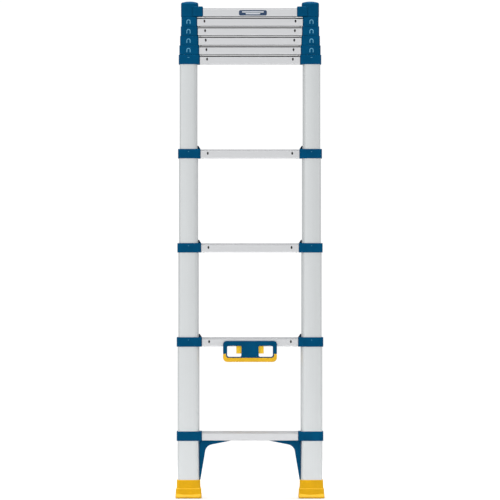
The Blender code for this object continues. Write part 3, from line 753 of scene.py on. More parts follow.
class LADDER_OT_stiles(bpy.types.Operator):
    """Makes the stile tubes, with the holes that the lock bolts pass through"""

    bl_idname = "ladder.stiles"
    bl_label = "Stiles"

    def execute(self, context):
        thickness = context.scene.ladder_shape.tube_wall
        for number in range(2, LAST + 1):
            tube = Tube(number)
            wall_x = tube.axis - tube.half_width
            heights = [Collar(number).bolt] if number < LAST else []
            if number > 2:
                lock_drop = Collar(3).top - Collar(2).top
                own = tube.top + TUBE_TOP_DROP - BOLT_DROP
                heights.append(own - lock_drop)
            for name, side in SIDES:
                piece = new_object(f"stile_{number}_{name}", mirrored(stile_solid(number, thickness), side))
                holes = [mirrored(cross_hole(wall_x, z, HOLE_RADIUS, LOCK_HOLE_DEPTH), side)
                         for z in heights]
                carve(piece, cuts=holes)
                complete(piece, body_of_section(number), "stile",
                         (f"tube_{number}_{name}",))
        return {"FINISHED"}


RUNG_RADIUS = 3.0 * MM
RIDGE_RISE = 0.6 * MM           # of the ridge along the rear of a tread
RIDGE_WIDTH = 2.4 * MM
LINE_HEIGHT = 3.9 * MM          # of the fine line above the rung's underside
LINE_DEPTH = 0.2 * MM
LINE_HALF_WIDTH = 0.7 * MM


def tread_outline(half_depth, low, grooves, depth):
    """The outside of a rung's section in Y and Z.

    Round corners join a flat underside, front and rear. Between the two upper corners the tread
    rises evenly to the rear, less a groove wave: a cosine along the tread, steepened and cut off
    to leave flat-topped ribs and round-bottomed grooves. A low ridge stands along its rear, and a
    fine V-shaped line runs along the front and the rear faces.
    """
    frame_points, _ = rounded_outline([(-half_depth, low, RUNG_RADIUS), (half_depth, low, RUNG_RADIUS),
                                       (half_depth, low + RUNG_HEIGHT, RUNG_RADIUS),
                                       (-half_depth, low + RUNG_FRONT_HEIGHT, RUNG_RADIUS)], 5)
    corners = frame_points.reshape(4, -1, 2)
    ridge = corners[2, -1] + np.array(((0.0, RIDGE_RISE), (-RIDGE_WIDTH, RIDGE_RISE), (-RIDGE_WIDTH, 0.0)))
    ridge[2, 1] -= RIDGE_WIDTH * (RUNG_HEIGHT - RUNG_FRONT_HEIGHT) / (2 * half_depth)
    start, end = ridge[2], corners[3, 0]
    line = (half_depth, low + LINE_HEIGHT) + np.array(((0.0, -LINE_HALF_WIDTH), (-LINE_DEPTH, 0.0),
                                                       (0.0, LINE_HALF_WIDTH)))
    share = np.linspace(0, 1, 8 * grooves + 1)[1:-1] if grooves else np.zeros(0)
    wave = np.clip(0.5 - 1.3 * np.cos(2 * math.pi * grooves * share), 0.0, 1.0)
    ribs = start + (end - start) * share[:, None] - np.stack((0 * wave, depth * wave), axis=-1)
    return np.concatenate((corners[0], corners[1], line, corners[2], ridge, ribs, corners[3],
                           (line * (-1, 1))[::-1]))


def rung_hollow(half_depth, low, thickness):
    """The inside of a rung's section in Y and Z."""
    slope_painted_light = (RUNG_HEIGHT - RUNG_FRONT_HEIGHT) / (2 * half_depth)
    half = half_depth - thickness
    radius = RUNG_RADIUS - thickness + 0.6 * MM
    return rounded_outline([(-half, low + thickness, radius), (half, low + thickness, radius),
                            (half, low + RUNG_HEIGHT - (slope_painted_light + 1) * thickness, radius),
                            (-half, low + RUNG_FRONT_HEIGHT + (slope_painted_light - 1) * thickness, radius)], 4)


WINDOW_INSET = 22.8 * MM
BEZEL_WIDTH = 0.7 * MM
BEZEL_PROUD = 0.35 * MM


class LADDER_OT_rungs(bpy.types.Operator):
    """Makes the hollow rungs, with grooved treads and openings for the indicator windows"""

    bl_idname = "ladder.rungs"
    bl_label = "Rungs"

    def execute(self, context):
        shape = context.scene.ladder_shape
        for number in range(1, LAST + 1):
            collar = Collar(number)
            end = collar.edge - GAP
            half, low = collar.rung_half_depth, collar.rung_low
            points = tread_outline(half, low, shape.tread_grooves, shape.groove_depth)
            rings = to_space(np.stack((points, points)), np.array((-end, end))[:, None], "X")
            piece = new_object(f"tread_{number}", loft(rings))
            cuts = [prism(rung_hollow(half, low, shape.rung_wall), -end - MM, end + MM, "X")]
            if 1 < number < LAST:
                for _, side in SIDES:
                    centre = (side * (collar.edge - WINDOW_INSET), collar.bolt)
                    cuts.append(prism(round_outline(centre, shape.window_width, shape.window_height),
                                      half - 3 * MM, half + 3 * MM, "Y"))
            if number > 2:
                cuts += [mirrored(fin_notch(number), side) for _, side in SIDES]
            if number == 2:
                cuts += [mirrored(arm_slot(low), side) for _, side in SIDES]
            carve(piece, cuts=cuts)
            complete(piece, body_of_section(number), "rung",
                     (f"rung_{number}",))
        return {"FINISHED"}


FIN_HEIGHT = 10.4 * MM
FIN_WIDTH = 9.0 * MM
FIN_APEX = 3.0 * MM
FIN_ROOM = 0.6 * MM


def block(low, high):
    """An axis-aligned block between two corners."""
    (x0, y0, z0), (x1, y1, z1) = low, high
    return prism((np.array(((x0, y0), (x1, y0), (x1, y1), (x0, y1))), np.zeros((4, 2))), z0, z1)


def fin_notch(number):
    """The room in the underside of a collar and its rung for the fin of the collar below."""
    here, below, tube = Collar(number), Collar(number - 1), Tube(number)
    half = FIN_WIDTH / 2 + FIN_ROOM
    face = tube.axis - tube.half_width
    return block((below.edge - FIN_ROOM, -half, here.low - 2 * MM),
                 (face + 1.4 * MM, half, here.low + FIN_HEIGHT + FIN_ROOM))


def fin_solid(number):
    """The wedge on a collar: upright against the next tube and sloping down to the rung side."""
    collar, tube = Collar(number), Tube(number + 1)
    face = tube.axis - tube.half_width - LIP_CLEARANCE
    tight, root = 0.5 * MM, collar.edge + 0.3 * MM
    outline = rounded_outline([(root, collar.top - 2 * MM, tight), (face, collar.top - 2 * MM, tight),
                               (face, collar.top + FIN_HEIGHT, tight),
                               (face - FIN_APEX, collar.top + FIN_HEIGHT, 1.2 * MM),
                               (root, collar.top, 0.7 * MM)], 3)
    return prism(outline, -FIN_WIDTH / 2, FIN_WIDTH / 2, "Y", 0.4 * MM, 2)


PLUG_LENGTH = 14.0 * MM


def plug_solid(collar, thickness):
    """The spigot that a moulding pushes into the end of its rung."""
    outline = rung_hollow(collar.rung_half_depth, collar.rung_low, thickness + GAP)
    return prism(outline, collar.edge - PLUG_LENGTH, collar.edge + 2 * MM, "X", 0.5 * MM, 2)


COLLAR_RADIUS = 9.0 * MM
BOTTOM_EDGE = 0.9 * MM


def collar_ring(collar, tube, next_tube, edge):
    """A band around the tube.

    Its skin goes up the outside over rounded edges, across the top, down the lip that guides the
    next tube, out to the bore of its own tube and down that to the underside.
    """
    outline = band_outline(collar.edge, collar.outer, collar.half_depth, COLLAR_RADIUS, COLLAR_RADIUS,
                           FAINT_CROWN)
    outside = wall(outline, edge_levels(collar.low, collar.top, edge, EDGE_STEPS, BOTTOM_EDGE))
    seat = collar.top - TUBE_TOP_DROP + GAP
    bore = tube.outline(GAP)
    if next_tube is None:
        inside = [(bore, ((0.5 * MM, collar.top), (0.0, collar.top - 0.5 * MM), (0.0, collar.low)))]
    else:
        lip = next_tube.outline(LIP_CLEARANCE)
        inside = [(lip, ((0.6 * MM, collar.top), (0.0, collar.top - 0.6 * MM), (0.0, seat))),
                  (bore, ((0.0, seat), (0.0, collar.low)))]
    rings = [outside] + [wall(line, np.array(levels)) for line, levels in inside]
    return loft(np.concatenate(rings), closed=True)


ARCH_WIDTH = 12.6 * MM
ARCH_TALL = 13.8 * MM
ARCH_STROKE = 2.3 * MM
ARCH_TOP = 8.7 * MM             # below the collar's top
DASH_WIDTH = 6.0 * MM
DASH_TALL = 1.2 * MM
DASH_TOP = 8.0 * MM             # below the collar's top


def arch_solid(collar, tube, relief):
    """A raised arch on a collar's front: two legs under a half circle."""
    half, inner = ARCH_WIDTH / 2, ARCH_WIDTH / 2 - ARCH_STROKE
    top = collar.top - ARCH_TOP
    low, inner_top = top - ARCH_TALL, top - ARCH_STROKE
    x, tiny = tube.axis, 0.3 * MM
    corners = [(x + half, low, tiny), (x + half, top, half - 0.01 * MM), (x - half, top, half - 0.01 * MM),
               (x - half, low, tiny), (x - inner, low, tiny), (x - inner, inner_top, inner - 0.01 * MM),
               (x + inner, inner_top, inner - 0.01 * MM), (x + inner, low, tiny)]
    front = collar.half_depth
    return prism(rounded_outline(corners, 8), front - MM, front + relief, "Y", 0.25 * MM, 2)


def dash_solid(collar, tube, relief):
    """The short raised dash of a collar that stands free, wider on the one under the stack."""
    half = DASH_WIDTH / 2 if collar.number == LAST_DRAWN_OUT else DASH_WIDTH / 4
    z = collar.top - DASH_TOP
    outline = box_outline(tube.axis - half, tube.axis + half, z - DASH_TALL, z, 0.45 * MM, steps=4)
    front = collar.half_depth
    return prism(outline, front - MM, front + relief, "Y", 0.25 * MM, 2)


class LADDER_OT_collars(bpy.types.Operator):
    """Makes the collars of sections 2 to 9, with their fins and raised marks"""

    bl_idname = "ladder.collars"
    bl_label = "Collars"

    def execute(self, context):
        shape = context.scene.ladder_shape
        for number in range(2, LAST):
            collar, tube = Collar(number), Tube(number)
            for name, side in SIDES:
                ring = mirrored(collar_ring(collar, tube, Tube(number + 1), shape.edge), side)
                piece = new_object(f"corner_{number}_{name}", ring)
                joins = [plug_solid(collar, shape.rung_wall)]
                cuts = [cross_hole(collar.edge, collar.bolt, HOLE_RADIUS, 15 * MM)]
                if number > 2:
                    cuts.append(fin_notch(number))
                carve(piece, [mirrored(solid, side) for solid in cuts],
                      [mirrored(solid, side) for solid in joins])
                complete(piece, body_of_section(number), "moulding",
                         (f"collar_{number}_{name}",))
                wedge = new_object(f"wedge_{number}_{name}", mirrored(fin_solid(number), side))
                # The fin takes the darker blue as painted shade.
                complete(wedge, body_of_section(number), "wedge")
                mark_solid = arch_solid if number > LAST_DRAWN_OUT else dash_solid
                mark = new_object(f"arch_{number}_{name}",
                                  mirrored(mark_solid(collar, tube, shape.arch_height), side))
                # The raised marks take the lighter blue of a painted highlight.
                complete(mark, body_of_section(number), "arch")
        return {"FINISHED"}


BRACE_TIP_X = 60.0 * MM
BRACE_ELBOW_RADIUS = 26.0 * MM
BRACE_ELBOW = (138.7 * MM, 165.7 * MM)
BRACE_HALF_DEPTH = 15.0 * MM


def brace_solid(collar, tube):
    """The brace under the first rung: a thin tip, a round elbow and a taper down to the foot."""
    _, foot_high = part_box("foot_right")
    shelf, foot = collar.rung_low - GAP, foot_high.z + GAP
    inside = tube.axis - tube.half_width + 2 * MM
    root = collar.edge + 2 * MM
    tiny = 0.15 * MM
    corners = [(BRACE_TIP_X, shelf, tiny), (BRACE_ELBOW[0], BRACE_ELBOW[1], BRACE_ELBOW_RADIUS),
               (156.3 * MM, foot, tiny), (inside, foot, tiny), (inside, shelf + 8 * MM, tiny),
               (root, shelf + 8 * MM, tiny), (root, shelf, tiny)]
    return prism(rounded_outline(corners), -BRACE_HALF_DEPTH, BRACE_HALF_DEPTH, "Y")


class LADDER_OT_brackets(bpy.types.Operator):
    """Makes the lowest collars, each in one piece with the brace under the first rung"""

    bl_idname = "ladder.brackets"
    bl_label = "Corner brackets"

    def execute(self, context):
        shape = context.scene.ladder_shape
        collar, tube = Collar(1), Tube(2)
        for name, side in SIDES:
            ring = collar_ring(collar, tube, None, shape.edge)
            piece = new_object(f"corner_1_{name}", mirrored(ring, side))
            bore = prism(tube.outline(GAP), tube.low, collar.top + 20 * MM)
            joins = [plug_solid(collar, shape.rung_wall), brace_solid(collar, tube)]
            carve(piece, [mirrored(bore, side)], [mirrored(solid, side) for solid in joins])
            complete(piece, "bottom", "moulding", (f"bracket_{name}",))
        return {"FINISHED"}


CAP_RADIUS = 13.0 * MM
CAP_TOP_DROP = 10.0 * MM        # height of the rounded shoulder and the dome
CAP_DOME_SHARE = 0.35           # the dome's part of that height
CAP_HALF_DEPTH = 21.0 * MM
CAP_SIDE_ROUND = 4.0 * MM
CAP_FRONT_ROUND = 8.0 * MM
CAP_INNER_X = 163.2 * MM
CAP_CLAMP_TALL = 31.6 * MM
CAP_CLAMP_WIDE = 35.6 * MM
CAP_SEAM_INSET = 4.4 * MM
CAP_SEAM_WIDE = 1.3 * MM
CAP_SEAM_DEEP = 2.0 * MM
CAP_CLAMP_RISE = 0.9 * MM
CAP_CLAMP_RADIUS = 4.0 * MM


def cap_body(cap, top, low, half_depth):
    """The cap's body, closed over the top.

    The wall is a rounded rectangle. Over the shoulder the section shrinks as a quarter ellipse,
    more in depth than in width, and from there a shallow dome closes to a point.
    """
    inner, outer = CAP_INNER_X, cap.outer
    centre = np.array(((inner + outer) / 2, 0.0))
    points, normals = box_outline(inner, outer, -half_depth, half_depth, CAP_RADIUS)
    angles = np.linspace(0, math.pi / 2, 9)
    shoulder = top - CAP_TOP_DROP
    dome = np.linspace(1.0, 0.02, 9)[1:]
    half = np.array(((outer - inner) / 2, half_depth))
    shrink = np.array((CAP_SIDE_ROUND, CAP_FRONT_ROUND))
    low_rings = wall((points, normals), edge_levels(low, shoulder, 0.01 * MM, 1, BOTTOM_EDGE)[:2])
    scales = 1 - (1 - np.cos(angles))[:, None] * shrink / half
    flat = centre + (points - centre)[None] * scales[:, None, :]
    rise = top - CAP_DOME_SHARE * (top - shoulder)
    heights = shoulder + (rise - shoulder) * np.sin(angles)
    over = centre + (points - centre)[None] * (scales[-1] * dome[:, None])[:, None, :]
    dome_heights = rise + (top - rise) * (1 - dome ** 2)
    rings = [low_rings, to_space(flat, heights[:, None], "Z"), to_space(over, dome_heights[:, None], "Z")]
    return loft(np.concatenate(rings))


class LADDER_OT_caps(bpy.types.Operator):
    """Makes the closed top caps with the clamps that hold the last rung"""

    bl_idname = "ladder.caps"
    bl_label = "Top caps"

    def execute(self, context):
        shape = context.scene.ladder_shape
        cap, tube = Collar(LAST), Tube(LAST)
        _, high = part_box("cap_right")
        clamp_outline = box_outline(cap.edge, cap.edge + CAP_CLAMP_WIDE, -high.y, high.y, CAP_CLAMP_RADIUS)
        clamp_low = cap.low + CAP_CLAMP_RISE
        for name, side in SIDES:
            body = cap_body(cap, high.z, cap.low, CAP_HALF_DEPTH)
            piece = new_object(f"top_cap_{name}", mirrored(body, side))
            clamp = prism(clamp_outline, clamp_low, clamp_low + CAP_CLAMP_TALL, "Z", 3.0 * MM)
            bore = prism(tube.outline(GAP), cap.low - 5 * MM, tube.top + GAP)
            seam_x = cap.edge + CAP_CLAMP_WIDE - CAP_SEAM_INSET
            seams = [block((seam_x, sign * high.y - CAP_SEAM_DEEP, clamp_low),
                           (seam_x + CAP_SEAM_WIDE, sign * high.y + CAP_SEAM_DEEP, high.z))
                     for sign in (-1, 1)]
            carve(piece, [mirrored(solid, side) for solid in (bore, fin_notch(LAST), *seams)],
                  [mirrored(clamp, side), mirrored(plug_solid(cap, shape.rung_wall), side)])
            complete(piece, "section_10", "moulding", (f"cap_{name}",))
        return {"FINISHED"}


FOOT_RADIUS = 10.0 * MM
SOLE = 8.0 * MM
# Rows up a boot: height, taken off the width, taken off the depth, share of the sag. In mm.
FOOT_LEVELS = ((0.0, 2.6, 2.6, 0.0), (0.5, 1.3, 1.3, 0.0), (1.5, 0.4, 0.4, 0.0), (3.2, 0.0, 0.0, 0.0),
               (5.4, 0.1, 0.0, 0.0), (6.6, 0.2, 0.4, 0.1), (14.6, 0.75, 4.2, 1.0), (15.8, 0.85, 4.4, 1.0),
               (28.8, 1.4, 4.5, 0.0), (30.0, 1.7, 4.6, 0.0), (30.8, 2.5, 5.0, 0.0),
               (31.3, 3.5, 5.3, 0.0), (32.2, 3.6, 5.4, 0.0),
               (56.9, 4.4, 5.5, 0.0), (57.7, 4.7, 5.8, 0.0), (58.1, 5.4, 6.3, 0.0))
FOOT_SAG = 3.4 * MM


def foot_solid(tube):
    """A boot around the tube.

    Its sections are rounded rectangles. They go up a flat lip, over a slope, up the lower wall,
    over the step, up the cuff and down the bore. The slope sags as a parabola across the width.
    """
    low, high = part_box("foot_right")
    half_x, half_y, top = (high.x - low.x) / 2, high.y, high.z
    rows = np.array(FOOT_LEVELS) * (MM, MM, MM, 1.0)
    heights, less_x, less_y, sag = rows.T[:, :, None]
    points, _ = band_outline(-half_x, half_x, half_y, FOOT_RADIUS, FOOT_RADIUS, FAINT_CROWN)
    share = points[:, 0] / half_x
    x = tube.axis + points[:, 0] * (1 - less_x / half_x)
    y = points[:, 1] * (1 - less_y / half_y)
    z = heights - FOOT_SAG * sag * np.clip(1 - share ** 2, 0, 1)
    outside = np.stack((x, y, z), axis=-1)
    inside = wall(tube.outline(GAP), np.array(((0.0, top), (0.0, SOLE))))
    return loft(np.concatenate((outside, inside)))


TREAD_PITCH = 7.0 * MM
TREAD_WIDTH = 2.6 * MM
TREAD_DEPTH = 2.0 * MM


class LADDER_OT_feet(bpy.types.Operator):
    """Makes the rubber feet, with grooves across their soles"""

    bl_idname = "ladder.feet"
    bl_label = "Feet"

    def execute(self, context):
        tube = Tube(2)
        low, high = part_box("foot_right")
        grooves = []
        for step in range(-4, 5):
            y = step * TREAD_PITCH
            grooves.append(block((low.x + 5 * MM, y - TREAD_WIDTH / 2, -5 * MM),
                                 (high.x - 5 * MM, y + TREAD_WIDTH / 2, TREAD_DEPTH)))
        for name, side in SIDES:
            piece = new_object(f"boot_{name}", mirrored(foot_solid(tube), side))
            carve(piece, [mirrored(groove, side) for groove in grooves])
            complete(piece, "bottom", "foot", (f"foot_{name}",))
        return {"FINISHED"}


SHOULDER_HALF_WIDTH = 75.5 * MM
FINGER_INNER_X = 26.5 * MM
FINGER_OUTER_X = 71.9 * MM
FINGER_LOW_Z = 446.4 * MM
FINGER_HIGH_Z = 481.0 * MM
FINGER_RADIUS = 4.5 * MM
HANDLE_RADIUS = 11.0 * MM
FRAME_LOWER_RADIUS = 8.0 * MM
GRIP_RADIUS = 14.0 * MM
GRIP_RIBS = 13
TRIGGER_ROOM = 0.3 * MM
TRIGGER_TRAVEL = 7.0 * MM
TRIGGER_BACK, TRIGGER_FRONT = 24.0 * MM, 31.0 * MM      # in front of the middle plane
POCKET_LOW_Z = 456.3 * MM
ARM_INNER_X, ARM_MIDDLE_X, ARM_OUTER_X = 34.0 * MM, 37.0 * MM, 40.0 * MM
ARM_LOW_Z, ARM_HIGH_Z = 467.0 * MM, 476.5 * MM
ARM_HALF_DEPTH = 4.5 * MM
SLOT_ROOM = 0.5 * MM
PULL_HOLE_RADIUS = 2.8 * MM
RIB_HEIGHTS = np.linspace(461.0, 476.0, 6) * MM


def arm_slot(low):
    """The slot in the second rung's underside for the arm of a trigger."""
    return block((ARM_INNER_X - TRIGGER_TRAVEL - SLOT_ROOM, -ARM_HALF_DEPTH - SLOT_ROOM, low - 2 * MM),
                 (ARM_OUTER_X + SLOT_ROOM, ARM_HALF_DEPTH + SLOT_ROOM, low + 4 * MM))


def finger_outline(side, grow=0.0):
    """A finger window: a rounded rectangle that is wider at the foot of the centre post."""
    inner, outer = FINGER_INNER_X - grow, FINGER_OUTER_X + grow
    corners = [(inner, FINGER_HIGH_Z + grow, FINGER_RADIUS), (outer, FINGER_HIGH_Z + grow, FINGER_RADIUS),
               (outer, FINGER_LOW_Z - grow, FINGER_RADIUS + 1.5 * MM),
               (inner + 1.2 * MM, FINGER_LOW_Z - grow, FINGER_RADIUS)]
    return rounded_outline([(side * x, z, radius) for x, z, radius in corners], 6)


class LADDER_OT_handle(bpy.types.Operator):
    """Makes the carrying handle: its frame with two finger windows, and the soft grip below"""

    bl_idname = "ladder.handle"
    bl_label = "Carrying handle"

    def execute(self, context):
        low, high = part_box("handle_frame")
        grip_low, grip_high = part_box("handle_grip")
        trigger_low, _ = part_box("trigger_right")
        wide, shoulder = high.x, grip_high.z + GAP
        half, bottom = SHOULDER_HALF_WIDTH, low.z
        tiny = 0.6 * MM
        outline = rounded_outline([
            (-half, bottom, FRAME_LOWER_RADIUS), (half, bottom, FRAME_LOWER_RADIUS),
            (half, shoulder, tiny), (wide, shoulder, tiny), (wide, high.z, HANDLE_RADIUS),
            (-wide, high.z, HANDLE_RADIUS), (-wide, shoulder, tiny), (-half, shoulder, tiny)])
        piece = new_object("handle_body", prism(outline, -high.y, -low.y, "Y"))
        windows = [prism(finger_outline(side), -high.y - 5 * MM, -low.y + 5 * MM, "Y")
                   for _, side in SIDES]
        carve(piece, windows)
        soften(piece, 1.6 * MM, 3)
        pocket = block((trigger_low.x - TRIGGER_TRAVEL - MM, -TRIGGER_FRONT - TRIGGER_ROOM, POCKET_LOW_Z),
                       (FINGER_INNER_X + 8 * MM, -TRIGGER_BACK + TRIGGER_ROOM, FINGER_HIGH_Z))
        carve(piece, [mirrored(pocket, side) for _, side in SIDES])
        complete(piece, "bottom", "moulding", ("handle_frame",))
        self.make_grip(grip_low, grip_high, half + GAP, bottom - GAP)
        return {"FINISHED"}

    def make_grip(self, low, high, half, bottom):
        wide = high.x
        outline = rounded_outline([
            (-wide, low.z, GRIP_RADIUS), (wide, low.z, GRIP_RADIUS), (wide, high.z, 3 * MM),
            (half, high.z, 1.5 * MM), (half, bottom, FRAME_LOWER_RADIUS + GAP),
            (-half, bottom, FRAME_LOWER_RADIUS + GAP), (-half, high.z, 1.5 * MM),
            (-wide, high.z, 3 * MM)], 10)
        grip = new_object("soft_grip", prism(outline, -high.y, -low.y, "Y", 1.4 * MM))
        pitch = 9.0 * MM
        dents = []
        for step in range(GRIP_RIBS):
            x = (step - (GRIP_RIBS - 1) / 2) * pitch
            dents.append(prism(round_outline((x, low.z - 0.6 * MM), 2.4 * MM, 2.4 * MM, 12),
                               -high.y - 5 * MM, -low.y + 5 * MM, "Y"))
        carve(grip, dents)
        complete(grip, "bottom", "grip", ("handle_grip",))


class LADDER_OT_triggers(bpy.types.Operator):
    """Makes the two release triggers, ribbed on the side that the finger pulls"""

    bl_idname = "ladder.triggers"
    bl_label = "Triggers"

    def execute(self, context):
        low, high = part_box("trigger_right")
        front, back = -low.y, TRIGGER_BACK
        bolt = Collar(2).bolt
        tab = box_outline(low.x, high.x, low.z, FINGER_HIGH_Z - TRIGGER_ROOM, 1.2 * MM, 1.4 * MM)
        for name, side in SIDES:
            piece = new_object(f"release_{name}", mirrored(prism(tab, back, front, "Y", 0.8 * MM, 3), side))
            arm = block((ARM_INNER_X, -back - 2 * MM, ARM_LOW_Z), (ARM_OUTER_X, ARM_HALF_DEPTH, ARM_HIGH_Z))
            post = block((ARM_INNER_X, -ARM_HALF_DEPTH, ARM_LOW_Z), (ARM_OUTER_X, ARM_HALF_DEPTH, high.z))
            ribs = [cross_rib(high.x, z, front) for z in RIB_HEIGHTS]
            cuts = ribs + [cross_hole(ARM_MIDDLE_X, bolt, PULL_HOLE_RADIUS, 10 * MM)]
            carve(piece, [mirrored(cut, side) for cut in cuts],
                  [mirrored(arm, side), mirrored(post, side)])
            complete(piece, f"release_{name}", "trigger",
                     (f"trigger_{name}",))
        return {"FINISHED"}


def cross_rib(x, z, front):
    """A shallow round groove across the outer edge of a trigger, from front to back."""
    outline = round_outline((x + 0.5 * MM, z), 1.8 * MM, 1.8 * MM, 12)
    return prism(outline, front - 12 * MM, front + 3 * MM, "Y")


BOLT_SHANK = 26.0 * MM
FLANGE_RADIUS = 7.0 * MM
FLANGE_LENGTH = 3.0 * MM
STEM_RADIUS = 2.5 * MM
FLAG_RADIUS = 6.0 * MM
FLAG_LENGTH = 6.6 * MM
FLAG_ROOM = 0.1 * MM
FLAG_SKIN = 0.5 * MM
FLAG_SEGMENTS = 28
PLUG_ROOM = 0.4 * MM
BOLT_STROKE = 7.0 * MM


class LADDER_OT_bolts(bpy.types.Operator):
    """Makes the lock bolts and the two-colour flags that show in the indicator windows"""

    bl_idname = "ladder.bolts"
    bl_label = "Lock bolts and flags"

    def execute(self, context):
        for number in range(2, LAST):
            drawn_out = number < LAST_DRAWN_OUT
            collar, tube = Collar(number), Tube(number)
            shift = 0.0 if drawn_out else -BOLT_STROKE
            tip = tube.axis - tube.half_width + 1.4 * MM + shift
            window = collar.edge - WINDOW_INSET
            centre = (0.0, collar.bolt)
            for name, side in SIDES:
                body = f"bolt_{number}_{name}" if drawn_out else body_of_section(number)
                bolt = new_object(f"bolt_{number}_{name}", mirrored(bolt_solid(number, tip, centre), side))
                nodes = (f"lock_bolt_{number}_{name}",) if drawn_out else ()
                complete(bolt, body, "steel", nodes)
                flange = tip - BOLT_SHANK - FLANGE_LENGTH
                plug_end = collar.edge - PLUG_LENGTH + shift
                for finish, profile in (("locked", locked_flag(window + shift, flange)),
                                        ("released", released_flag(flange, plug_end))):
                    ring = turned(profile, centre, FLAG_SEGMENTS, closed=True)
                    flag = new_object(f"{finish}_flag_{number}_{name}", mirrored(ring, side))
                    complete(flag, body, finish)
        return {"FINISHED"}


def locked_flag(at, flange):
    """(x, radius) pairs of a collar on the stem that is behind the window while locked."""
    start, end, inner = at - FLAG_LENGTH / 2, flange - FLAG_ROOM, STEM_RADIUS + FLAG_ROOM
    ease = 0.5 * MM
    return ((start, inner), (start, FLAG_RADIUS - ease), (start + ease, FLAG_RADIUS),
            (end - ease, FLAG_RADIUS), (end, FLAG_RADIUS - ease), (end, inner))


def released_flag(flange, plug_end):
    """(x, radius) pairs of a cap pressed over the bolt's flange, which stops short of the plug.

    It is wide round the flange and steps in to the shank beyond it.
    """
    start, end = flange, plug_end - PLUG_ROOM
    step = flange + FLANGE_LENGTH + FLAG_ROOM
    wide, narrow, skin = FLANGE_RADIUS + FLAG_ROOM, BOLT_RADIUS + FLAG_ROOM, FLAG_SKIN
    return ((start, wide), (start, wide + skin), (end, wide + skin), (end, narrow),
            (step, narrow), (step, wide))



def bolt_solid(number, tip, centre):
    """Shank, spring flange and stem; on the second rung the stem is the triggers' pull rod."""
    shoulder = tip - BOLT_SHANK
    stem_end = ARM_INNER_X - GAP if number == 2 else shoulder - FLANGE_LENGTH - 20.0 * MM
    zero = 0.01 * MM
    profile = [(tip, zero), (tip, BOLT_RADIUS - 1.0 * MM), (tip - 1.0 * MM, BOLT_RADIUS),
               (shoulder, BOLT_RADIUS), (shoulder, FLANGE_RADIUS - 0.4 * MM),
               (shoulder - 0.4 * MM, FLANGE_RADIUS), (shoulder - FLANGE_LENGTH + 0.4 * MM, FLANGE_RADIUS),
               (shoulder - FLANGE_LENGTH, FLANGE_RADIUS - 0.4 * MM),
               (shoulder - FLANGE_LENGTH, STEM_RADIUS), (stem_end, STEM_RADIUS)]
    if number == 2:
        head = 4.5 * MM
        profile += [(stem_end, head), (stem_end - FLANGE_LENGTH, head), (stem_end - FLANGE_LENGTH, zero)]
    else:
        profile += [(stem_end, zero)]
    return turned(profile[::-1], centre)


class LADDER_OT_windows(bpy.types.Operator):
    """Makes the thin dark bezels around the indicator windows"""

    bl_idname = "ladder.windows"
    bl_label = "Indicator windows"

    def execute(self, context):
        shape = context.scene.ladder_shape
        for number in range(2, LAST):
            collar = Collar(number)
            front = collar.rung_half_depth
            for name, side in SIDES:
                centre = (side * (collar.edge - WINDOW_INSET), collar.bolt)
                outer = round_outline(centre, shape.window_width, shape.window_height, 28)
                levels = np.array(((-0.05 * MM, front - 2.4 * MM), (-0.05 * MM, front),
                                   (BEZEL_WIDTH, front), (BEZEL_WIDTH, front + 0.6 * BEZEL_PROUD),
                                   (BEZEL_WIDTH - 0.2 * MM, front + BEZEL_PROUD),
                                   (-0.3 * MM, front + BEZEL_PROUD), (-0.6 * MM, front - 0.2 * MM),
                                   (-0.6 * MM, front - 2.4 * MM)))
                bezel = new_object(f"bezel_{number}_{name}", loft(wall(outer, levels, "Y"), closed=True))
                complete(bezel, body_of_section(number), "bezel")
        return {"FINISHED"}


RIVET_RADIUS = 3.2 * MM
RIVET_DOME = 1.0 * MM
RIVET_Y = 11.0 * MM


class LADDER_OT_rivets(bpy.types.Operator):
    """Makes the rivets that hold each rung's ends from below"""

    bl_idname = "ladder.rivets"
    bl_label = "Rivets"

    def execute(self, context):
        angles = np.linspace(0, math.pi / 2, 6)
        for number in range(1, LAST + 1):
            collar = Collar(number)
            x = collar.edge - PLUG_LENGTH / 2
            heads = []
            for y in (-RIVET_Y, RIVET_Y):
                outline = round_outline((x, y), 2 * RIVET_RADIUS, 2 * RIVET_RADIUS, 20)
                dome = np.stack((RIVET_RADIUS * (np.sin(angles) - 1),
                                 collar.rung_low - RIVET_DOME * np.cos(angles)), axis=-1)
                dome[0, 0] = -RIVET_RADIUS + 0.05 * MM
                levels = np.concatenate((dome, ((0.0, collar.rung_low + 0.5 * MM),)))
                heads.append(loft(wall(outline, levels)))
            for name, side in SIDES:
                piece = new_object(f"rivets_{number}_{name}", mirrored(merged(*heads), side))
                complete(piece, body_of_section(number), "steel")
        return {"FINISHED"}


LABEL_X = 9.2 * MM
LABEL_SIZE = (88.0 * MM, 17.0 * MM)
LABEL_BARS = ((0.34, 0.78), (-0.34, 0.52))      # share of the half height, share of the width
LABEL_BAR_HALF = 1.5 * MM


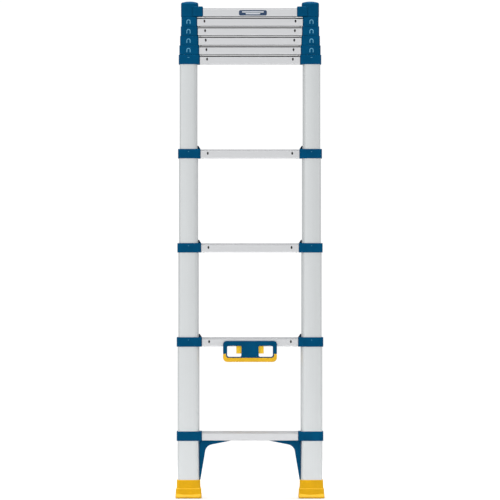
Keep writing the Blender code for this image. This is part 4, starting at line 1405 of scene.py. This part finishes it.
class LADDER_OT_label(bpy.types.Operator):
    """Makes the plain label on the front of the top rung"""

    bl_idname = "ladder.label"
    bl_label = "Label"

    def execute(self, context):
        rung = Collar(LAST)
        front = rung.rung_half_depth
        z = rung.rung_low + RUNG_FRONT_HEIGHT / 2
        half_x, half_z = LABEL_SIZE[0] / 2, LABEL_SIZE[1] / 2
        plate = box_outline(LABEL_X - half_x, LABEL_X + half_x, z - half_z, z + half_z, 5 * MM)
        piece = new_object("label", prism(plate, front - 0.1 * MM, front + 0.35 * MM, "Y", 0.2 * MM, 2))
        complete(piece, "section_10", "label")
        bars = []
        for share, length in LABEL_BARS:
            bar_z = z + share * half_z
            bar_half = half_x * length
            outline = box_outline(LABEL_X - bar_half, LABEL_X + bar_half, bar_z - LABEL_BAR_HALF,
                                  bar_z + LABEL_BAR_HALF, 0.9 * LABEL_BAR_HALF, steps=4)
            bars.append(prism(outline, front + 0.3 * MM, front + 0.45 * MM, "Y"))
        marks = new_object("label_marks", merged(*bars))
        complete(marks, "section_10", "print")
        return {"FINISHED"}


# Stage ---------------------------------------------------------------------------------------------

FLOOR_RADIUS = 3.2
FLOOR_DROP = 0.3 * MM
GLOW_FROM, GLOW_TO = 0.9, 2.2   # where the floor's own light begins, and where it is full
WHITE = 1.04
WORLD_LEAN = 1.1                # how much brighter the soft light is towards the left
WORLD_SIDES = 0.82              # how bright it is from the two sides
# Name, place and size of each light. The stage settings hold their powers.
LIGHTS = (("key", (-4.2, -5.0, 3.2), 4.0), ("fill", (4.2, 5.0, 3.2), 4.0), ("top", (0.0, 0.0, 5.0), 3.5))
LIGHTS_LOOK_AT = (0.0, 0.0, 0.8)


def floor_finish():
    """White paper that is lit from below away from the ladder, so that its edge disappears."""
    material, tree, shader, place = new_finish("studio_floor", specular=0.05)
    fibre = noise(tree, place, 400.0, 3.0, 0.6)
    tree.links.new(mix(tree, fibre, (0.71, 0.71, 0.71, 1.0), (0.74, 0.74, 0.74, 1.0)),
                   shader.inputs["Base Color"])
    shader.inputs["Roughness"].default_value = 0.9
    shader.inputs["Emission Color"].default_value = (1.0, 1.0, 1.0, 1.0)
    shader.inputs["Emission Strength"].default_value = 0.08
    away = node(tree, "ShaderNodeVectorMath", {0: place}, operation="LENGTH").outputs[1]
    glow = node(tree, "ShaderNodeEmission", {"Strength": WHITE})
    blend = node(tree, "ShaderNodeMixShader",
                 {0: remap(tree, away, GLOW_FROM, GLOW_TO, 0.0, 1.0), 1: shader.outputs[0],
                  2: glow.outputs[0]})
    tree.links.new(blend.outputs[0], tree.nodes["Material Output"].inputs[0])
    return material


class LADDER_OT_stage(bpy.types.Operator):
    """Makes the floor, the studio light and the camera"""

    bl_idname = "ladder.stage"
    bl_label = "Stage"

    def execute(self, context):
        stage = context.scene.ladder_stage
        self.make_floor()
        for name, place, size in LIGHTS:
            self.make_light(name, place, size, getattr(stage, f"{name}_power"))
        self.make_world(context.scene, stage.sky)
        data = bpy.data.cameras.new("camera")
        camera = bpy.data.objects.new("camera", data)
        context.scene.collection.objects.link(camera)
        camera.location = (0.0, -stage.distance, stage.view_height)
        camera.rotation_euler = (math.radians(90), 0.0, 0.0)
        data.sensor_width = 36.0
        data.lens = data.sensor_width * stage.distance / stage.frame_width
        data.clip_end = 100.0
        context.scene.camera = camera
        context.scene.view_settings.view_transform = "Standard"
        return {"FINISHED"}

    def make_floor(self):
        """A flat disc just under the soles: rings of points at growing radii about the ladder."""
        angles = np.linspace(0, 2 * math.pi, 64, endpoint=False)
        circle = np.stack((np.cos(angles), np.sin(angles), 0 * angles), axis=-1)
        radii = np.array((0.5, 1.2, FLOOR_RADIUS))[::-1, None, None]
        points, faces = loft(circle * radii - (0.0, 0.0, FLOOR_DROP))
        floor = new_object("studio_floor", (points, faces[:-2] + faces[-1:]))
        floor.data.materials.append(floor_finish())

    def make_light(self, name, place, size, power):
        """A square light that looks at the middle of the ladder and isn't mirrored in the metal."""
        data = bpy.data.lights.new(name, "AREA")
        data.shape = "SQUARE"
        data.size = size
        data.energy = power
        light = bpy.data.objects.new(name, data)
        bpy.context.scene.collection.objects.link(light)
        light.location = place
        light.visible_glossy = False
        direction = np.array(LIGHTS_LOOK_AT) - place
        flat = math.hypot(direction[0], direction[1])
        light.rotation_euler = (math.atan2(flat, -direction[2]), 0.0,
                                math.atan2(direction[1], direction[0]) - math.pi / 2)

    def make_world(self, scene, strength):
        """Broad soft light from the front and the rear that falls off towards the two sides.

        It is a little brighter on the left and overhead. The camera sees plain white.
        """
        world = bpy.data.worlds.new("studio")
        world.use_nodes = True
        tree = world.node_tree
        direction = node(tree, "ShaderNodeTexCoord").outputs["Generated"]
        parts = node(tree, "ShaderNodeSeparateXYZ", {0: direction})
        across, up = parts.outputs[0], parts.outputs[2]
        middle = remap(tree, calculate(tree, "ABSOLUTE", across, 0.0), 0.22, 0.5, 1.0, 0.0)
        broad = calculate(tree, "SUBTRACT", 1.0, calculate(tree, "MULTIPLY", across, WORLD_LEAN))
        rise = calculate(tree, "MULTIPLY", middle, calculate(tree, "SUBTRACT", broad, WORLD_SIDES))
        level = calculate(tree, "ADD", WORLD_SIDES, rise)
        level = calculate(tree, "ADD", level, remap(tree, up, 0.3, 1.0, 0.0, 0.3))
        level = calculate(tree, "MULTIPLY", level, strength)
        seen = node(tree, "ShaderNodeLightPath").outputs["Is Camera Ray"]
        shown = calculate(tree, "ADD", calculate(tree, "MULTIPLY", seen, WHITE),
                          calculate(tree, "MULTIPLY", calculate(tree, "SUBTRACT", 1.0, seen), level))
        tree.links.new(shown, tree.nodes["Background"].inputs["Strength"])
        tree.nodes["Background"].inputs["Color"].default_value = (1.0, 1.0, 1.0, 1.0)
        scene.world = world


class LADDER_PT_panel(bpy.types.Panel):
    """Lists the ladder's pieces in the sidebar"""

    bl_label = "Telescoping Ladder"
    bl_idname = "LADDER_PT_panel"
    bl_space_type = "VIEW_3D"
    bl_region_type = "UI"
    bl_category = "Ladder"

    def draw(self, context):
        layout = self.layout
        for title, settings in (("Shape", context.scene.ladder_shape),
                                ("Colours", context.scene.ladder_colours),
                                ("Stage", context.scene.ladder_stage)):
            box = layout.box()
            box.label(text=title)
            for name in settings.__annotations__:
                box.prop(settings, name)
        column = layout.column(align=True)
        for maker in MAKERS:
            column.operator(maker.bl_idname)


MAKERS = (LADDER_OT_stage, LADDER_OT_stiles, LADDER_OT_rungs, LADDER_OT_collars, LADDER_OT_brackets,
          LADDER_OT_caps, LADDER_OT_feet, LADDER_OT_handle, LADDER_OT_triggers, LADDER_OT_bolts,
          LADDER_OT_windows, LADDER_OT_rivets, LADDER_OT_label)
SETTINGS = (("ladder_shape", LadderShape), ("ladder_colours", LadderColours), ("ladder_stage", LadderStage))


def register():
    for name, settings in SETTINGS:
        bpy.utils.register_class(settings)
        setattr(bpy.types.Scene, name, bpy.props.PointerProperty(type=settings))
    for maker in MAKERS + (LADDER_PT_panel,):
        bpy.utils.register_class(maker)


def unregister():
    for maker in reversed(MAKERS + (LADDER_PT_panel,)):
        bpy.utils.unregister_class(maker)
    for name, settings in reversed(SETTINGS):
        delattr(bpy.types.Scene, name)
        bpy.utils.unregister_class(settings)


def main():
    register()
    build_finishes()
    for maker in MAKERS:
        group, name = maker.bl_idname.split(".")
        getattr(getattr(bpy.ops, group), name)()


if __name__ == "__main__":
    main()
